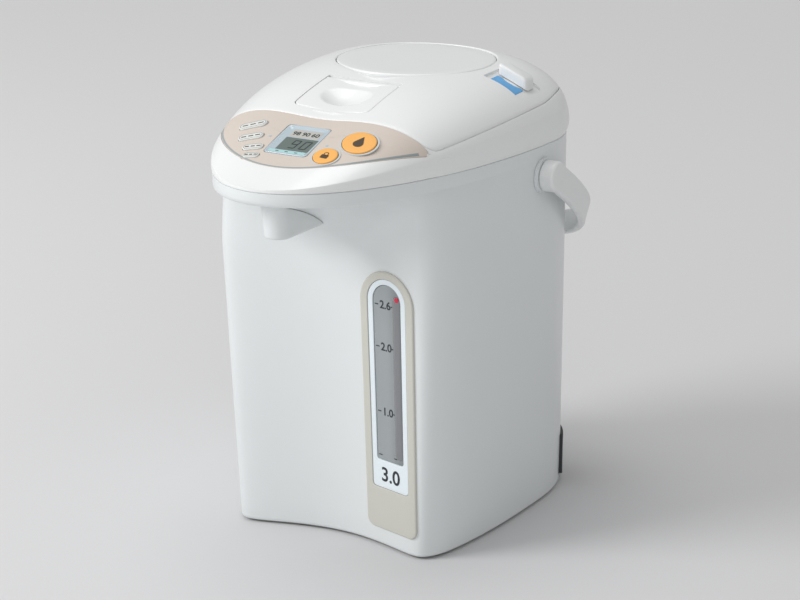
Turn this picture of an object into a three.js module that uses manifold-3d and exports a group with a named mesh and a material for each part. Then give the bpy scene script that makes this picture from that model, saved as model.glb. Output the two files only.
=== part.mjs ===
// Electric thermo pot, three litres, with a push plate, a lid, a carrying handle and a front control panel.
// All lengths are in millimetres, angles in degrees. X points right, -Y points to the front, Z points up.
// The axis of the round water vessel runs through X = 0, Y = 0 until the finished part is centred.

import * as THREE from 'three';
import { mergeVertices } from 'three/addons/utils/BufferGeometryUtils.js';
import Module from 'manifold-3d';

const wasm = await Module();
wasm.setup();

// Driving dimensions.

const gap = 0.3; // left between neighbouring pieces
const slack = 0.5; // left round pieces that move
const overrun = 8; // how far every cutting shape runs past what it cuts
const wall = 2.4; // moulded plastic wall
const weld = 0.0001; // vertices closer than this are one
const probe = 0.5; // step used to feel the slope of the head's top

// The head: an egg-shaped plan of two half ellipses with a domed top.
const head = {
  halfWidth: 97.7,
  centreY: 14.2,
  frontDepth: 216.1,
  rearDepth: 88,
  seamZ: 261,
  topZ: 312.2,
  frontEdgeZ: 263.1,
  sideEdgeZ: 279.8,
  rearEdgeZ: 261.9,
  sideBulge: 2,
};
const domeShares = {
  frontPower: 1.95,
  sidePower: 3.38,
  rearPower: 3.3,
  frontRound: 0.93,
  sideRound: 1.8,
  wall: [0.35, 0.75],
  rings: [0.99, 0.95, 0.87, 0.75, 0.58, 0.35],
};
const pointsRound = 48; // corners in one turn of the body and of the head

// The body: nearly square in front, round behind, with a cove that runs out under the head.
const body = {
  baseZ: 1.5,
  edgeRound: 2.6,
  baseHalfWidth: 89.9,
  baseFront: 132.8,
  topFront: 141.1,
  baseRear: 89.8,
  baseSag: 17.7,
  topSag: 9.7,
  coveZ: 195,
  lipZ: 252,
  lipRound: 4,
};
const bodyShares = {
  baseSquareness: 2.45,
  topSquareness: 2.85,
  rearSquareness: 2.6,
  ellipse: 2,
  curl: 1.5,
  cornerPower: 14,
  sagWidth: 0.8,
  edge: [0, 1],
  edgeTrim: [1, 0],
  coveRound: 2,
  coveCornerRound: 6,
  cornerSlope: 1.2,
  lipReach: [1.12, 1.2, 4],
  lipRise: [0, 0.3, 1],
};
const coveSteps = 6;

const lid = {
  centreY: 3,
  halfWidth: 94.2,
  frontDepth: 203,
  rearDepth: 98,
  frontY: -124.5,
  frontPullX: 50,
  frontPullY: -126.5,
  cornerX: 76,
  cornerY: -114.5,
  rearY: 84,
  draft: 2.2,
  lowZ: 264.3,
};
const lidSideSteps = 11;
const arcSteps = 6;

const hinge = {
  y: 88,
  z: 287,
  knuckle: 5,
  pin: 1.6,
  lidHalf: 14,
  fixedHalf: 20,
  sweep: 11.8,
  troughHalf: 46,
  webRise: 2.5,
};
const deck = { lowZ: 261.6, highZ: 264 };

const plate = {
  radius: 54,
  topZ: 309.7,
  thick: 3,
  edgeRound: 1,
  skirtOuter: 51.5,
  skirtInner: 49.5,
  skirtZ: 291,
};
const guide = { wall: 2, lowZ: 276 };
const bellows = { outer: 45, inner: 37, wall: 1.2, folds: 5, lowZ: 258.3 };
const spring = { radius: 22, wire: 1.4, turns: 6 };

const plug = { radius: 75, wall: 2, floorLowZ: 256, floorHighZ: 258, plateLowZ: 267, plateHighZ: 269.4 };
const gasket = { outer: 81, round: 0.8 };

const lever = {
  halfWidth: 28,
  frontY: -110,
  pivotY: -68,
  thick: 3,
  knuckle: 2.8,
  pin: 1.2,
  cornerRound: 4,
  dipY: -90,
  dipHalfWidth: 18.5,
  dipHalfDepth: 12.5,
  dip: 4.6,
  cupWall: 2,
  pocketDeep: 9.8,
};
const latch = {
  halfWidth: 8,
  noseY: -124.6,
  tailY: -101,
  lowZ: 269.7,
  highZ: 273.2,
  slotDeep: 3,
  noseAngle: 45,
};

const lock = {
  centreX: 74,
  halfWidth: 12,
  frontY: -5,
  rearY: 8,
  proud: 3.4,
  recessHalfWidth: 14,
  recessFrontY: -18,
  recessRearY: 12,
  recessDeep: 1.8,
  backing: 4.6,
  cornerRound: 2,
};

const panel = {
  lowY: -178,
  lowPullX: 48,
  tipX: 75,
  tipY: -117,
  thick: 2.2,
  ledge: 4,
  ledgeThick: 2.2,
};
const screen = { y: -148.5, halfWidth: 16, halfDepth: 17, thick: 1.8, cornerRound: 1.5, proud: 0.4 };
const module = { halfWidth: 13.5, halfDepth: 14, thick: 7.2, deep: 2.9 };
const board = {
  halfWidth: 46,
  noseHalfWidth: 34,
  frontY: -22,
  waistY: 2,
  rearY: 17,
  thick: 1.6,
  deep: 12,
};
const cap = {
  proud: 0.8,
  round: 0.6,
  flange: 1.2,
  flangeHigh: 4.4,
  flangeLow: 5.4,
  stem: 2.2,
  stemLow: 8.2,
};
const roundKeys = [
  { name: 'dispense_button', x: 41.7, y: -142.1, radius: 11 },
  { name: 'unlock_button', x: 28.1, y: -160.4, radius: 8 },
];
const ovalKeys = [
  { name: 'key_boil', x: -39.7, y: -138.9, halfLength: 9.5, halfWidth: 3.75, turn: 22 },
  { name: 'key_keep_warm', x: -33.3, y: -151.4, halfLength: 8.5, halfWidth: 3.5, turn: 22 },
  { name: 'key_timer', x: -25.2, y: -161.4, halfLength: 7, halfWidth: 3.25, turn: 18 },
  { name: 'key_light', x: -21.3, y: -169.6, halfLength: 5.5, halfWidth: 2.75, turn: 12 },
];

const gauge = {
  centreX: 44.4,
  frameHalfWidth: 21,
  frameLowZ: 14,
  frameHighZ: 196,
  frameRound: 3,
  plateHalfWidth: 15,
  plateLowZ: 44,
  plateHighZ: 191,
  windowHalfWidth: 11,
  windowLowZ: 64,
  windowHighZ: 187,
  windowRound: 2,
  frameProud: 1.6,
  plateProud: 1.1,
  windowProud: 0.8,
  windowDeep: 1.4,
  reachY: -80,
};
const levelTube = { x: 53, lowY: -103.6, lowZ: 46, highY: -110.4, highZ: 200, outer: 3, bore: 2 };

const spout = {
  halfWidth: 10,
  lowZ: 225.5,
  highZ: 262,
  lowNoseY: -177,
  highNoseY: -200.5,
  backY: -118,
  edgeRound: 1.4,
  boreY: -165,
  mouth: 3.4,
  stepZ: 236,
};
const spoutPipe = { outer: 4, bore: 3, clear: 1 };
const spoutPipeRun = [
  [53, -110.4, 200.3],
  [52.4, -111, 224],
  [40, -122, 247],
  [14, -150, 256],
  [3.4, -162, 256.4],
  [0, -165, 253],
  [0, -165, 246],
  [0, -165, 236.8],
];

const boss = { radius: 12, proud: 1.8, depth: 9.5, stub: 5, stubLength: 7.5 };
const bossOutX = head.halfWidth + boss.proud;
const stubEndX = bossOutX + boss.stubLength;
const handle = {
  pivotY: 0,
  pivotZ: 241,
  tilt: -32,
  rearClear: 9.75,
  thick: 5.5,
  height: 17.5,
  edge: 1.6,
  hubWidth: 10.2,
  hubRadius: 10.5,
};
const handleShares = { squareness: 2.6, hubHeight: 1.1 };
const handleSteps = 24;

const vessel = {
  radius: 83.5,
  wall: 1.2,
  floorZ: 50,
  floorRound: 9,
  neckLowZ: 246,
  neckHighZ: 253,
  mouth: 78.5,
  rimZ: 261.3,
  rimOuter: 85,
  drainX: 20,
  drainY: -55,
  drainOuter: 5,
  drainBore: 3.8,
  drainLowZ: 38.6,
};
const vesselShares = { outerCurve: 0.5, innerCurve: 0.333 };
const sleeve = { radius: 85.2, wall: 1.4, lowZ: 62, highZ: 240 };
const heater = { radius: 46, lowZ: 43.5, highZ: 48.5, centreY: 24, ring: 20 };

const cover = { lowZ: 2.5, highZ: 5.5 };
const foot = { radius: 8, height: 2.2, frontX: 60, frontY: -78, rearX: 52, rearY: 62 };
const motor = { radius: 15, lowZ: 5.8, highZ: 25.2, shaft: 1.5, shaftZ: 34.2 };
const pump = {
  radius: 20,
  wall: 2,
  lowZ: 25.5,
  highZ: 38.3,
  inlet: 4.2,
  outletOuter: 4.5,
  outletBore: 3.2,
  reach: 29,
};
const impeller = { radius: 15, hub: 4, disc: 1.4, blade: 1.4, lowZ: 28.4, highZ: 34, bore: 1.8, capZ: 35 };
const blades = 6;
const outletPipe = { outer: 4, bore: 2.8 };
const bendShares = { straight: 0.667, rise: 0.333, ease: 0.167 };
const powerBoard = {
  x: -28,
  y: 22,
  halfWidth: 34,
  halfDepth: 26,
  lowZ: 14.3,
  highZ: 15.9,
  post: 4,
  postX: 26,
  postY: 18,
};

const inlet = {
  angle: 45,
  halfWidth: 19,
  lowZ: 6,
  highZ: 36,
  proud: 7.17,
  inward: 14.83,
  cornerRound: 3,
  socketHalfWidth: 14,
  socketHalfHeight: 8,
  socketDeep: 11,
  socketRound: 3,
  pinSpread: 6.5,
  pin: 2,
  pinLength: 8,
};

const pipeSteps = 14;
const pipeSides = 12;
const turnedSteps = 30;
const smallSteps = 14;
const bowlSteps = 21;
const postSteps = 7;
const cornerSteps = 4;
const edgeSteps = 1;
const springStepsPerTurn = 10;
const springSides = 5;

// Shape helpers.

const mix = (start, end, share) => start + (end - start) * share;
const radians = (degrees) => THREE.MathUtils.degToRad(degrees);

function manifoldFrom(points, faces) {
  const mesh = new wasm.Mesh({
    numProp: 3,
    vertProperties: new Float32Array(points),
    triVerts: new Uint32Array(faces),
  });
  return new wasm.Manifold(mesh);
}

// Turns a closed geometry into a solid whose faces look outward.
function solidOf(geometry) {
  const bare = geometry.clone();
  bare.deleteAttribute('normal');
  bare.deleteAttribute('uv');
  const welded = mergeVertices(bare, weld);
  const index = welded.index.array;
  const faces = [];
  for (let i = 0; i < index.length; i += 3) {
    const [a, b, c] = [index[i], index[i + 1], index[i + 2]];
    if (a !== b && b !== c && c !== a) {
      faces.push(a, b, c);
    }
  }
  const points = welded.attributes.position.array;
  const solid = manifoldFrom(points, faces);
  return solid.volume() > 0 ? solid : manifoldFrom(points, faces.reverse());
}

function geometryOf(solid) {
  const mesh = solid.getMesh();
  const points = [];
  for (let i = 0; i < mesh.numVert; i += 1) {
    const start = i * mesh.numProp;
    points.push(mesh.vertProperties[start], mesh.vertProperties[start + 1], mesh.vertProperties[start + 2]);
  }
  const geometry = new THREE.BufferGeometry();
  geometry.setAttribute('position', new THREE.Float32BufferAttribute(points, 3));
  geometry.setIndex(Array.from(mesh.triVerts));
  geometry.computeVertexNormals();
  return geometry;
}

const joined = (first, ...others) => others.reduce((sum, solid) => sum.add(solid), first);
const without = (first, ...others) => others.reduce((rest, solid) => rest.subtract(solid), first);

// Skins a stack of rings that have the same number of points, and closes both ends.
function loft(rings) {
  const count = rings[0].length;
  const points = rings.flat();
  const faces = [];
  for (let level = 0; level + 1 < rings.length; level += 1) {
    for (let i = 0; i < count; i += 1) {
      const a = level * count + i;
      const b = level * count + ((i + 1) % count);
      faces.push(a, b, a + count, b, b + count, a + count);
    }
  }
  const ends = [rings[0], rings[rings.length - 1]];
  ends.forEach((ring, end) => {
    const centre = ring.reduce((sum, point) => sum.add(point), new THREE.Vector3());
    const start = end * (rings.length - 1) * count;
    points.push(centre.divideScalar(count));
    for (let i = 0; i < count; i += 1) {
      const pair = [start + i, start + ((i + 1) % count)];
      faces.push(points.length - 1, pair[1 - end], pair[end]);
    }
  });
  const geometry = new THREE.BufferGeometry();
  geometry.setAttribute('position', new THREE.Float32BufferAttribute(points.flatMap((p) => p.toArray()), 3));
  geometry.setIndex(faces);
  return solidOf(geometry);
}

// An upright prism over an outline of [x, y] points.
function prism(outline, lowZ, highZ) {
  return loft([lowZ, highZ].map((z) => outline.map(([x, y]) => new THREE.Vector3(x, y, z))));
}

// A prism over [x, z] points that runs along Y from lowY to highY.
function upright(outline, highY, lowY) {
  return loft([highY, lowY].map((y) => outline.map(([x, z]) => new THREE.Vector3(x, y, z))));
}

// A body of revolution about the vertical line through (x, y); the profile holds [radius, z] points.
function turned(profile, x = 0, y = 0, steps = turnedSteps) {
  const points = profile.map(([radius, z]) => new THREE.Vector2(radius, z));
  const geometry = new THREE.LatheGeometry(points, steps);
  geometry.rotateX(Math.PI / 2);
  geometry.translate(x, y, 0);
  return solidOf(geometry);
}

function rod(radius, lowZ, highZ, x = 0, y = 0, steps = smallSteps) {
  return turned([[0, lowZ], [radius, lowZ], [radius, highZ], [0, highZ]], x, y, steps);
}

function sleeveOf(outer, inner, lowZ, highZ, x = 0, y = 0, steps = turnedSteps) {
  return turned([[inner, lowZ], [outer, lowZ], [outer, highZ], [inner, highZ], [inner, lowZ]], x, y, steps);
}

// A rod lying along X.
function axle(radius, lowX, highX, y, z, steps = smallSteps) {
  const geometry = new THREE.CylinderGeometry(radius, radius, highX - lowX, steps);
  geometry.rotateZ(Math.PI / 2);
  geometry.translate((lowX + highX) / 2, y, z);
  return solidOf(geometry);
}

function block(lowX, highX, lowY, highY, lowZ, highZ) {
  return prism([[lowX, lowY], [highX, lowY], [highX, highY], [lowX, highY]], lowZ, highZ);
}

function roundedRectangle(lowX, highX, lowY, highY, radius, steps = cornerSteps) {
  const corners = [[highX, lowY, -90], [highX, highY, 0], [lowX, highY, 90], [lowX, lowY, 180]];
  const points = [];
  corners.forEach(([x, y, start]) => {
    const centreX = x - radius * Math.sign(x - (lowX + highX) / 2);
    const centreY = y - radius * Math.sign(y - (lowY + highY) / 2);
    for (let i = 0; i <= steps; i += 1) {
      const angle = radians(start + (90 * i) / steps);
      points.push([centreX + radius * Math.cos(angle), centreY + radius * Math.sin(angle)]);
    }
  });
  return points;
}

function ellipseOutline(x, y, halfWidth, halfDepth, steps) {
  const points = [];
  for (let i = 0; i < steps; i += 1) {
    const angle = (2 * Math.PI * i) / steps;
    points.push([x + halfWidth * Math.cos(angle), y + halfDepth * Math.sin(angle)]);
  }
  return points;
}

// A pipe with an open bore along a smooth line through the stations.
function pipe(stations, outer, bore, steps = pipeSteps) {
  const curve = new THREE.CatmullRomCurve3(stations.map(([x, y, z]) => new THREE.Vector3(x, y, z)));
  const ringOf = (radius) => {
    const ring = ellipseOutline(0, 0, radius, radius, pipeSides);
    return ring.map(([x, y]) => new THREE.Vector2(x, y));
  };
  const shape = new THREE.Shape(ringOf(outer));
  shape.holes.push(new THREE.Path(ringOf(bore)));
  return solidOf(new THREE.ExtrudeGeometry(shape, { steps, extrudePath: curve }));
}

// The right half of an outline, from front to rear, with its mirror image added.
function mirrored(rightHalf) {
  const leftHalf = rightHalf.filter(([x]) => x > 0).map(([x, y]) => [-x, y]);
  return [...rightHalf, ...leftHalf.reverse()];
}

function arc(start, pull, end, steps) {
  const points = [];
  for (let i = 0; i <= steps; i += 1) {
    const t = i / steps;
    const weights = [(1 - t) * (1 - t), 2 * t * (1 - t), t * t];
    const along = (axis) => weights[0] * start[axis] + weights[1] * pull[axis] + weights[2] * end[axis];
    points.push([along(0), along(1)]);
  }
  return points;
}

// The head's domed top.

// Height of the dome where across and along are shares of the way from the middle to the rim.
function domeHeight(across, along) {
  const reach = Math.hypot(across, along);
  const direction = reach > 0 ? along / reach : 0;
  const front = Math.max(0, -direction) ** 2;
  const rear = Math.max(0, direction) ** 2;
  const side = 1 - front - rear;
  const rim = head.frontEdgeZ * front + head.sideEdgeZ * side + head.rearEdgeZ * rear;
  const power = domeShares.frontPower * front + domeShares.sidePower * side + domeShares.rearPower * rear;
  const round = domeShares.frontRound * front + domeShares.sideRound * (side + rear);
  return rim + (head.topZ - rim) * Math.max(0, 1 - reach ** power) ** (1 / round);
}

function domeAt(x, y) {
  const depth = y < head.centreY ? head.frontDepth : head.rearDepth;
  return domeHeight(x / head.halfWidth, (y - head.centreY) / depth);
}

function headRing(share, inset, heightOf) {
  const ring = [];
  for (let i = 0; i < pointsRound; i += 1) {
    const angle = (2 * Math.PI * i) / pointsRound;
    const across = share * Math.cos(angle);
    const along = share * Math.sin(angle);
    const depth = along < 0 ? head.frontDepth : head.rearDepth;
    const trim = inset(Math.cos(angle) ** 2);
    const x = (head.halfWidth - trim) * across;
    const y = head.centreY + (depth - trim) * along;
    ring.push(new THREE.Vector3(x, y, heightOf(domeHeight(across, along))));
  }
  return ring;
}

// The head as a solid from lowZ up to its dome, set in by inset and with the dome lowered by drop.
function headSolid(inset, drop, lowZ) {
  const plain = () => inset;
  const bulged = (side) => inset - head.sideBulge * side;
  const rings = [headRing(1, plain, () => lowZ)];
  domeShares.wall.forEach((share) => {
    rings.push(headRing(1, bulged, (height) => mix(lowZ, height - drop, share)));
  });
  rings.push(headRing(1, plain, (height) => height - drop));
  domeShares.rings.forEach((share) => {
    rings.push(headRing(share, plain, (height) => height - drop));
  });
  return loft(rings);
}

// The layer of the head between two depths below the dome.
function headLayer(top, bottom) {
  const lowZ = head.frontEdgeZ - bottom - overrun;
  return without(headSolid(0, top, lowZ), headSolid(0, bottom, lowZ - overrun));
}

// A frame on the dome whose Z axis stands square to it; turn is the angle about that axis.
function domeFrame(x, y, turn = 0) {
  const slopeX = (domeAt(x + probe, y) - domeAt(x - probe, y)) / (2 * probe);
  const slopeY = (domeAt(x, y + probe) - domeAt(x, y - probe)) / (2 * probe);
  const up = new THREE.Vector3(-slopeX, -slopeY, 1).normalize();
  const across = new THREE.Vector3(1, 0, slopeX).normalize();
  const along = new THREE.Vector3().crossVectors(up, across);
  const frame = new THREE.Matrix4().makeBasis(across, along, up);
  frame.multiply(new THREE.Matrix4().makeRotationZ(radians(turn)));
  return frame.setPosition(x, y, domeAt(x, y));
}

const placed = (solid, frame) => solid.transform(frame.toArray());

// The body's outer form.

// One level of the body: a squared oval whose front is cut off by a bowed face. The face moves
// forward with rise, the share of the cove's height, and stands at reach times the depth when rise is 1.
function bodyRing(z, rise, inset, reach = bodyShares.lipReach[0]) {
  const share = (z - body.baseZ) / (head.seamZ - body.baseZ);
  const halfWidth = mix(body.baseHalfWidth, head.halfWidth, share) - inset;
  const depth = head.frontDepth - head.halfWidth + halfWidth;
  const faceDepth = mix(body.baseFront, body.topFront, share) - inset;
  const rear = mix(body.baseRear, head.rearDepth, share) - inset;
  const sag = mix(body.baseSag, body.topSag, share);
  const squareness = mix(bodyShares.baseSquareness, bodyShares.topSquareness, share);
  const frontPower = mix(squareness, bodyShares.ellipse, rise ** bodyShares.curl);
  const rearPower = mix(bodyShares.rearSquareness, bodyShares.ellipse, share);
  const ring = [];
  for (let i = 0; i < pointsRound; i += 1) {
    const angle = (2 * Math.PI * i) / pointsRound;
    const [c, s] = [Math.cos(angle), Math.sin(angle)];
    const isFront = i > pointsRound / 2;
    const power = isFront ? frontPower : rearPower;
    let stretch = (Math.abs(c) ** power + Math.abs(s) ** power) ** (-1 / power);
    if (isFront) {
      const x = halfWidth * Math.abs(c) * Math.min(stretch, faceDepth / (depth * -s));
      const bow = sag * Math.max(0, 1 - (x / (bodyShares.sagWidth * halfWidth)) ** 2);
      const side = Math.min(1, Math.abs(c / s) / bodyShares.cornerSlope) ** 2;
      const round = mix(bodyShares.coveRound, bodyShares.coveCornerRound, side);
      const advance = 1 - Math.max(0, 1 - rise ** round) ** (1 / round);
      const face = mix(faceDepth - bow, reach * depth, advance);
      const cut = face / (depth * -s);
      const corner = bodyShares.cornerPower;
      stretch = (stretch ** -corner + cut ** -corner) ** (-1 / corner);
    }
    const y = head.centreY + (isFront ? depth : rear) * stretch * s;
    ring.push(new THREE.Vector3(halfWidth * stretch * c, y, z));
  }
  return ring;
}

// The body as a solid; inset moves its sides in, lift raises the underside of its cove.
function bodySolid(inset, lift, lowZ, highZ) {
  const rings = [];
  if (inset > 0) {
    rings.push(bodyRing(body.baseZ, 0, inset).map((point) => point.setZ(lowZ)));
  } else {
    bodyShares.edge.forEach((share, i) => {
      const trim = body.edgeRound * bodyShares.edgeTrim[i];
      rings.push(bodyRing(body.baseZ + body.edgeRound * share, 0, inset + trim));
    });
  }
  rings.push(bodyRing(body.coveZ + lift, 0, inset));
  for (let i = 1; i < coveSteps; i += 1) {
    const rise = Math.sin((Math.PI / 2) * (i / coveSteps));
    rings.push(bodyRing(mix(body.coveZ, body.lipZ, rise) + lift, rise, inset));
  }
  bodyShares.lipReach.forEach((reach, i) => {
    rings.push(bodyRing(body.lipZ + lift + body.lipRound * bodyShares.lipRise[i], 1, inset, reach));
  });
  const lastReach = bodyShares.lipReach[bodyShares.lipReach.length - 1];
  rings.push(bodyRing(head.seamZ, 1, inset, lastReach));
  if (highZ > head.seamZ) {
    rings.push(bodyRing(head.seamZ, 1, inset, lastReach).map((point) => point.setZ(highZ)));
  }
  return loft(rings);
}

const bodyGrown = (grow) => bodySolid(-grow, -grow, body.baseZ, head.seamZ + overrun);

// An outline given as [x, z] points, drawn out along Y through the front of the body.
const frontPrism = (outline) => upright(outline, gauge.reachY, -head.frontDepth);

// Outlines on the head.

function lidOutline(grow) {
  const halfWidth = lid.halfWidth + grow;
  const front = [0, lid.frontY - grow];
  const pull = [lid.frontPullX, lid.frontPullY - grow];
  const corner = [lid.cornerX + grow, lid.cornerY - grow];
  const rightHalf = arc(front, pull, corner, arcSteps);
  for (let i = 1; i <= lidSideSteps; i += 1) {
    const y = mix(corner[1], lid.rearY + grow, i / lidSideSteps);
    const depth = (y < lid.centreY ? lid.frontDepth : lid.rearDepth) + grow;
    rightHalf.push([halfWidth * Math.sqrt(1 - ((y - lid.centreY) / depth) ** 2), y]);
  }
  return mirrored(rightHalf);
}

// The lid's outline as a solid that leans in towards its lower edge, so that the lid swings clear.
function lidBlock(grow, lowZ, draft = lid.draft) {
  const highZ = head.topZ + overrun;
  const ringAt = (inset, z) => lidOutline(grow - inset).map(([x, y]) => new THREE.Vector3(x, y, z));
  const lowRing = ringAt(draft, lowZ);
  lowRing.forEach((point) => {
    if (point.y > lid.rearY + grow - draft - gap) {
      point.setY(lid.rearY + grow);
    }
  });
  return loft([lowRing, ringAt(0, highZ)]);
}

function panelOutline(grow) {
  const low = [0, panel.lowY - grow];
  const pull = [panel.lowPullX + grow, panel.lowY - grow];
  const tip = [panel.tipX + grow, panel.tipY];
  const rear = (y) => y - slack + grow;
  const lower = arc(low, pull, tip, arcSteps + arcSteps);
  const corner = [panel.tipX + grow, rear(lid.cornerY)];
  const upper = arc(corner, [lid.frontPullX, rear(lid.frontPullY)], [0, rear(lid.frontY)], arcSteps);
  return mirrored([...lower, ...upper]);
}

// The lever's outline, rounded in front and square behind.
const leverOutline = (grow, rearY) => {
  const half = lever.halfWidth + grow;
  const { frontY, cornerRound } = lever;
  const rounded = roundedRectangle(-half, half, frontY - grow, rearY + cornerRound, cornerRound);
  return rounded.map(([x, y]) => [x, Math.min(y, rearY)]);
};

function leverDip(grow) {
  const { dipY, dipHalfWidth, dipHalfDepth } = lever;
  return ellipseOutline(0, dipY, dipHalfWidth + grow, dipHalfDepth + grow, smallSteps);
}

function lockOutline(halfWidth, frontY, rearY) {
  const [lowX, highX] = [lock.centreX - halfWidth, lock.centreX + halfWidth];
  return roundedRectangle(lowX, highX, frontY, rearY, lock.cornerRound);
}

function gaugeOutline(halfWidth, lowZ, highZ, cornerRound) {
  const { centreX } = gauge;
  const springZ = highZ - halfWidth;
  const lower = roundedRectangle(centreX - halfWidth, centreX + halfWidth, lowZ, highZ, cornerRound);
  const points = lower.filter(([, z]) => z < springZ);
  const turnStart = points.findIndex(([x]) => x < centreX);
  const crown = [];
  for (let i = 0; i <= smallSteps; i += 1) {
    const angle = (Math.PI * i) / smallSteps;
    crown.push([centreX + halfWidth * Math.cos(angle), springZ + halfWidth * Math.sin(angle)]);
  }
  return [...points.slice(0, turnStart), ...crown, ...points.slice(turnStart)];
}

function frameOutline(grow) {
  const { frameHalfWidth, frameLowZ, frameHighZ, frameRound } = gauge;
  return gaugeOutline(frameHalfWidth + grow, frameLowZ - grow, frameHighZ + grow, frameRound);
}

function scaleOutline(grow) {
  const { plateHalfWidth, plateLowZ, plateHighZ, frameRound } = gauge;
  return gaugeOutline(plateHalfWidth + grow, plateLowZ - grow, plateHighZ + grow, frameRound);
}

function windowOutline(grow) {
  const { windowHalfWidth, windowLowZ, windowHighZ, windowRound } = gauge;
  return gaugeOutline(windowHalfWidth + grow, windowLowZ - grow, windowHighZ + grow, windowRound);
}

// Body, gauge and spout.

// The inlet stands square to the body's round rear corner.
function inletFrame() {
  const frame = new THREE.Matrix4().makeRotationZ(radians(inlet.angle - 90));
  const corner = bodyRing(body.baseZ, 0, 0)[pointsRound / 8];
  const reach = Math.hypot(corner.x, corner.y);
  const angle = radians(inlet.angle);
  return frame.setPosition(reach * Math.cos(angle), reach * Math.sin(angle), 0);
}

function inletBlock(grow, outY, inY) {
  const outline = roundedRectangle(
    -inlet.halfWidth - grow,
    inlet.halfWidth + grow,
    inlet.lowZ - grow,
    inlet.highZ + grow,
    inlet.cornerRound,
  );
  return placed(upright(outline, outY, inY), inletFrame());
}

function bodyShell() {
  const outer = bodySolid(0, 0, body.baseZ, head.seamZ);
  const inner = bodySolid(wall, wall, body.baseZ - overrun, head.seamZ + overrun);
  const pipeHole = rod(spoutPipe.outer + spoutPipe.clear, spout.lowZ, head.seamZ, 0, spout.boreY);
  const inletHole = inletBlock(gap, overrun, -overrun - wall);
  return without(outer, inner, frontPrism(windowOutline(0)), pipeHole, inletHole);
}

function gaugeFrame() {
  const shape = frontPrism(frameOutline(0)).intersect(bodyGrown(gauge.frameProud));
  return without(shape, bodyGrown(gap), frontPrism(scaleOutline(0)));
}

function scalePlate() {
  const shape = frontPrism(scaleOutline(-gap)).intersect(bodyGrown(gauge.plateProud));
  return without(shape, bodyGrown(gap), frontPrism(windowOutline(0)));
}

function gaugeWindow() {
  const shape = frontPrism(windowOutline(-gap)).intersect(bodyGrown(gauge.windowProud));
  const deep = gauge.windowDeep;
  return without(shape, bodySolid(deep, deep, body.baseZ - overrun, head.seamZ + overrun));
}

function levelTubePiece() {
  const low = [levelTube.x, levelTube.lowY, levelTube.lowZ];
  const high = [levelTube.x, levelTube.highY, levelTube.highZ];
  return pipe([low, high], levelTube.outer, levelTube.bore, 1);
}

function spoutRing(z, noseY, halfWidth) {
  const centreY = noseY + halfWidth;
  const ring = [];
  for (let i = 0; i <= smallSteps; i += 1) {
    const angle = -Math.PI + (Math.PI * i) / smallSteps;
    ring.push(new THREE.Vector3(halfWidth * Math.cos(angle), centreY + halfWidth * Math.sin(angle), z));
  }
  ring.push(new THREE.Vector3(halfWidth, spout.backY, z));
  ring.push(new THREE.Vector3(-halfWidth, spout.backY, z));
  return ring;
}

function spoutNozzle() {
  const edgeZ = spout.lowZ + spout.edgeRound;
  const edgeShare = spout.edgeRound / (spout.highZ - spout.lowZ);
  const edgeNoseY = mix(spout.lowNoseY, spout.highNoseY, edgeShare);
  const fin = loft([
    spoutRing(spout.lowZ, spout.lowNoseY + spout.edgeRound, spout.halfWidth - spout.edgeRound),
    spoutRing(edgeZ, edgeNoseY, spout.halfWidth),
    spoutRing(spout.highZ, spout.highNoseY, spout.halfWidth),
  ]);
  const mouth = rod(spout.mouth, spout.lowZ - overrun, spout.highZ, 0, spout.boreY);
  const socket = rod(spoutPipe.outer + slack, spout.stepZ, spout.highZ, 0, spout.boreY);
  return without(fin, bodyGrown(gap), mouth, socket);
}

const spoutPipePiece = () => pipe(spoutPipeRun, spoutPipe.outer, spoutPipe.bore);

function handleBoss(side) {
  const { pivotY, pivotZ } = handle;
  const disc = axle(boss.radius, bossOutX - boss.depth, bossOutX, pivotY, pivotZ, turnedSteps);
  const stub = axle(boss.stub, bossOutX - gap, stubEndX, pivotY, pivotZ);
  const right = without(joined(disc, stub), bodyGrown(gap));
  return side > 0 ? right : right.mirror([1, 0, 0]);
}

// Handle.

const hubInX = bossOutX + gap;
const hubOutX = hubInX + handle.hubWidth;
const bailHalfWidth = hubOutX - handle.thick / 2;

// The bail is long enough to pass behind the head.
function bailLength() {
  const rearY = head.centreY + head.rearDepth + handle.rearClear;
  return (rearY - handle.pivotY) / Math.cos(radians(handle.tilt));
}

function handleRing(step) {
  const angle = (Math.PI * step) / handleSteps;
  const [c, s] = [Math.cos(angle), Math.sin(angle)];
  const power = handleShares.squareness;
  const stretch = (Math.abs(c) ** power + Math.abs(s) ** power) ** (-1 / power);
  const along = new THREE.Vector3(0, Math.cos(radians(handle.tilt)), Math.sin(radians(handle.tilt)));
  const up = new THREE.Vector3(0, -along.z, along.y);
  const slope = new THREE.Vector2(
    (Math.sign(c) * Math.abs(c) ** (power - 1)) / bailHalfWidth,
    Math.abs(s) ** (power - 1) / bailLength(),
  ).normalize();
  const middle = new THREE.Vector3(bailHalfWidth * stretch * c, handle.pivotY, handle.pivotZ);
  middle.addScaledVector(along, bailLength() * stretch * s);
  const out = new THREE.Vector3(slope.x, 0, 0).addScaledVector(along, slope.y);
  const nearHub = 1 + (handleShares.hubHeight - 1) * c * c;
  const outline = roundedRectangle(
    -handle.thick / 2,
    handle.thick / 2,
    (-handle.height / 2) * nearHub,
    (handle.height / 2) * nearHub,
    handle.edge,
    edgeSteps,
  );
  return outline.map(([u, v]) => middle.clone().addScaledVector(out, u).addScaledVector(up, v));
}

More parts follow.
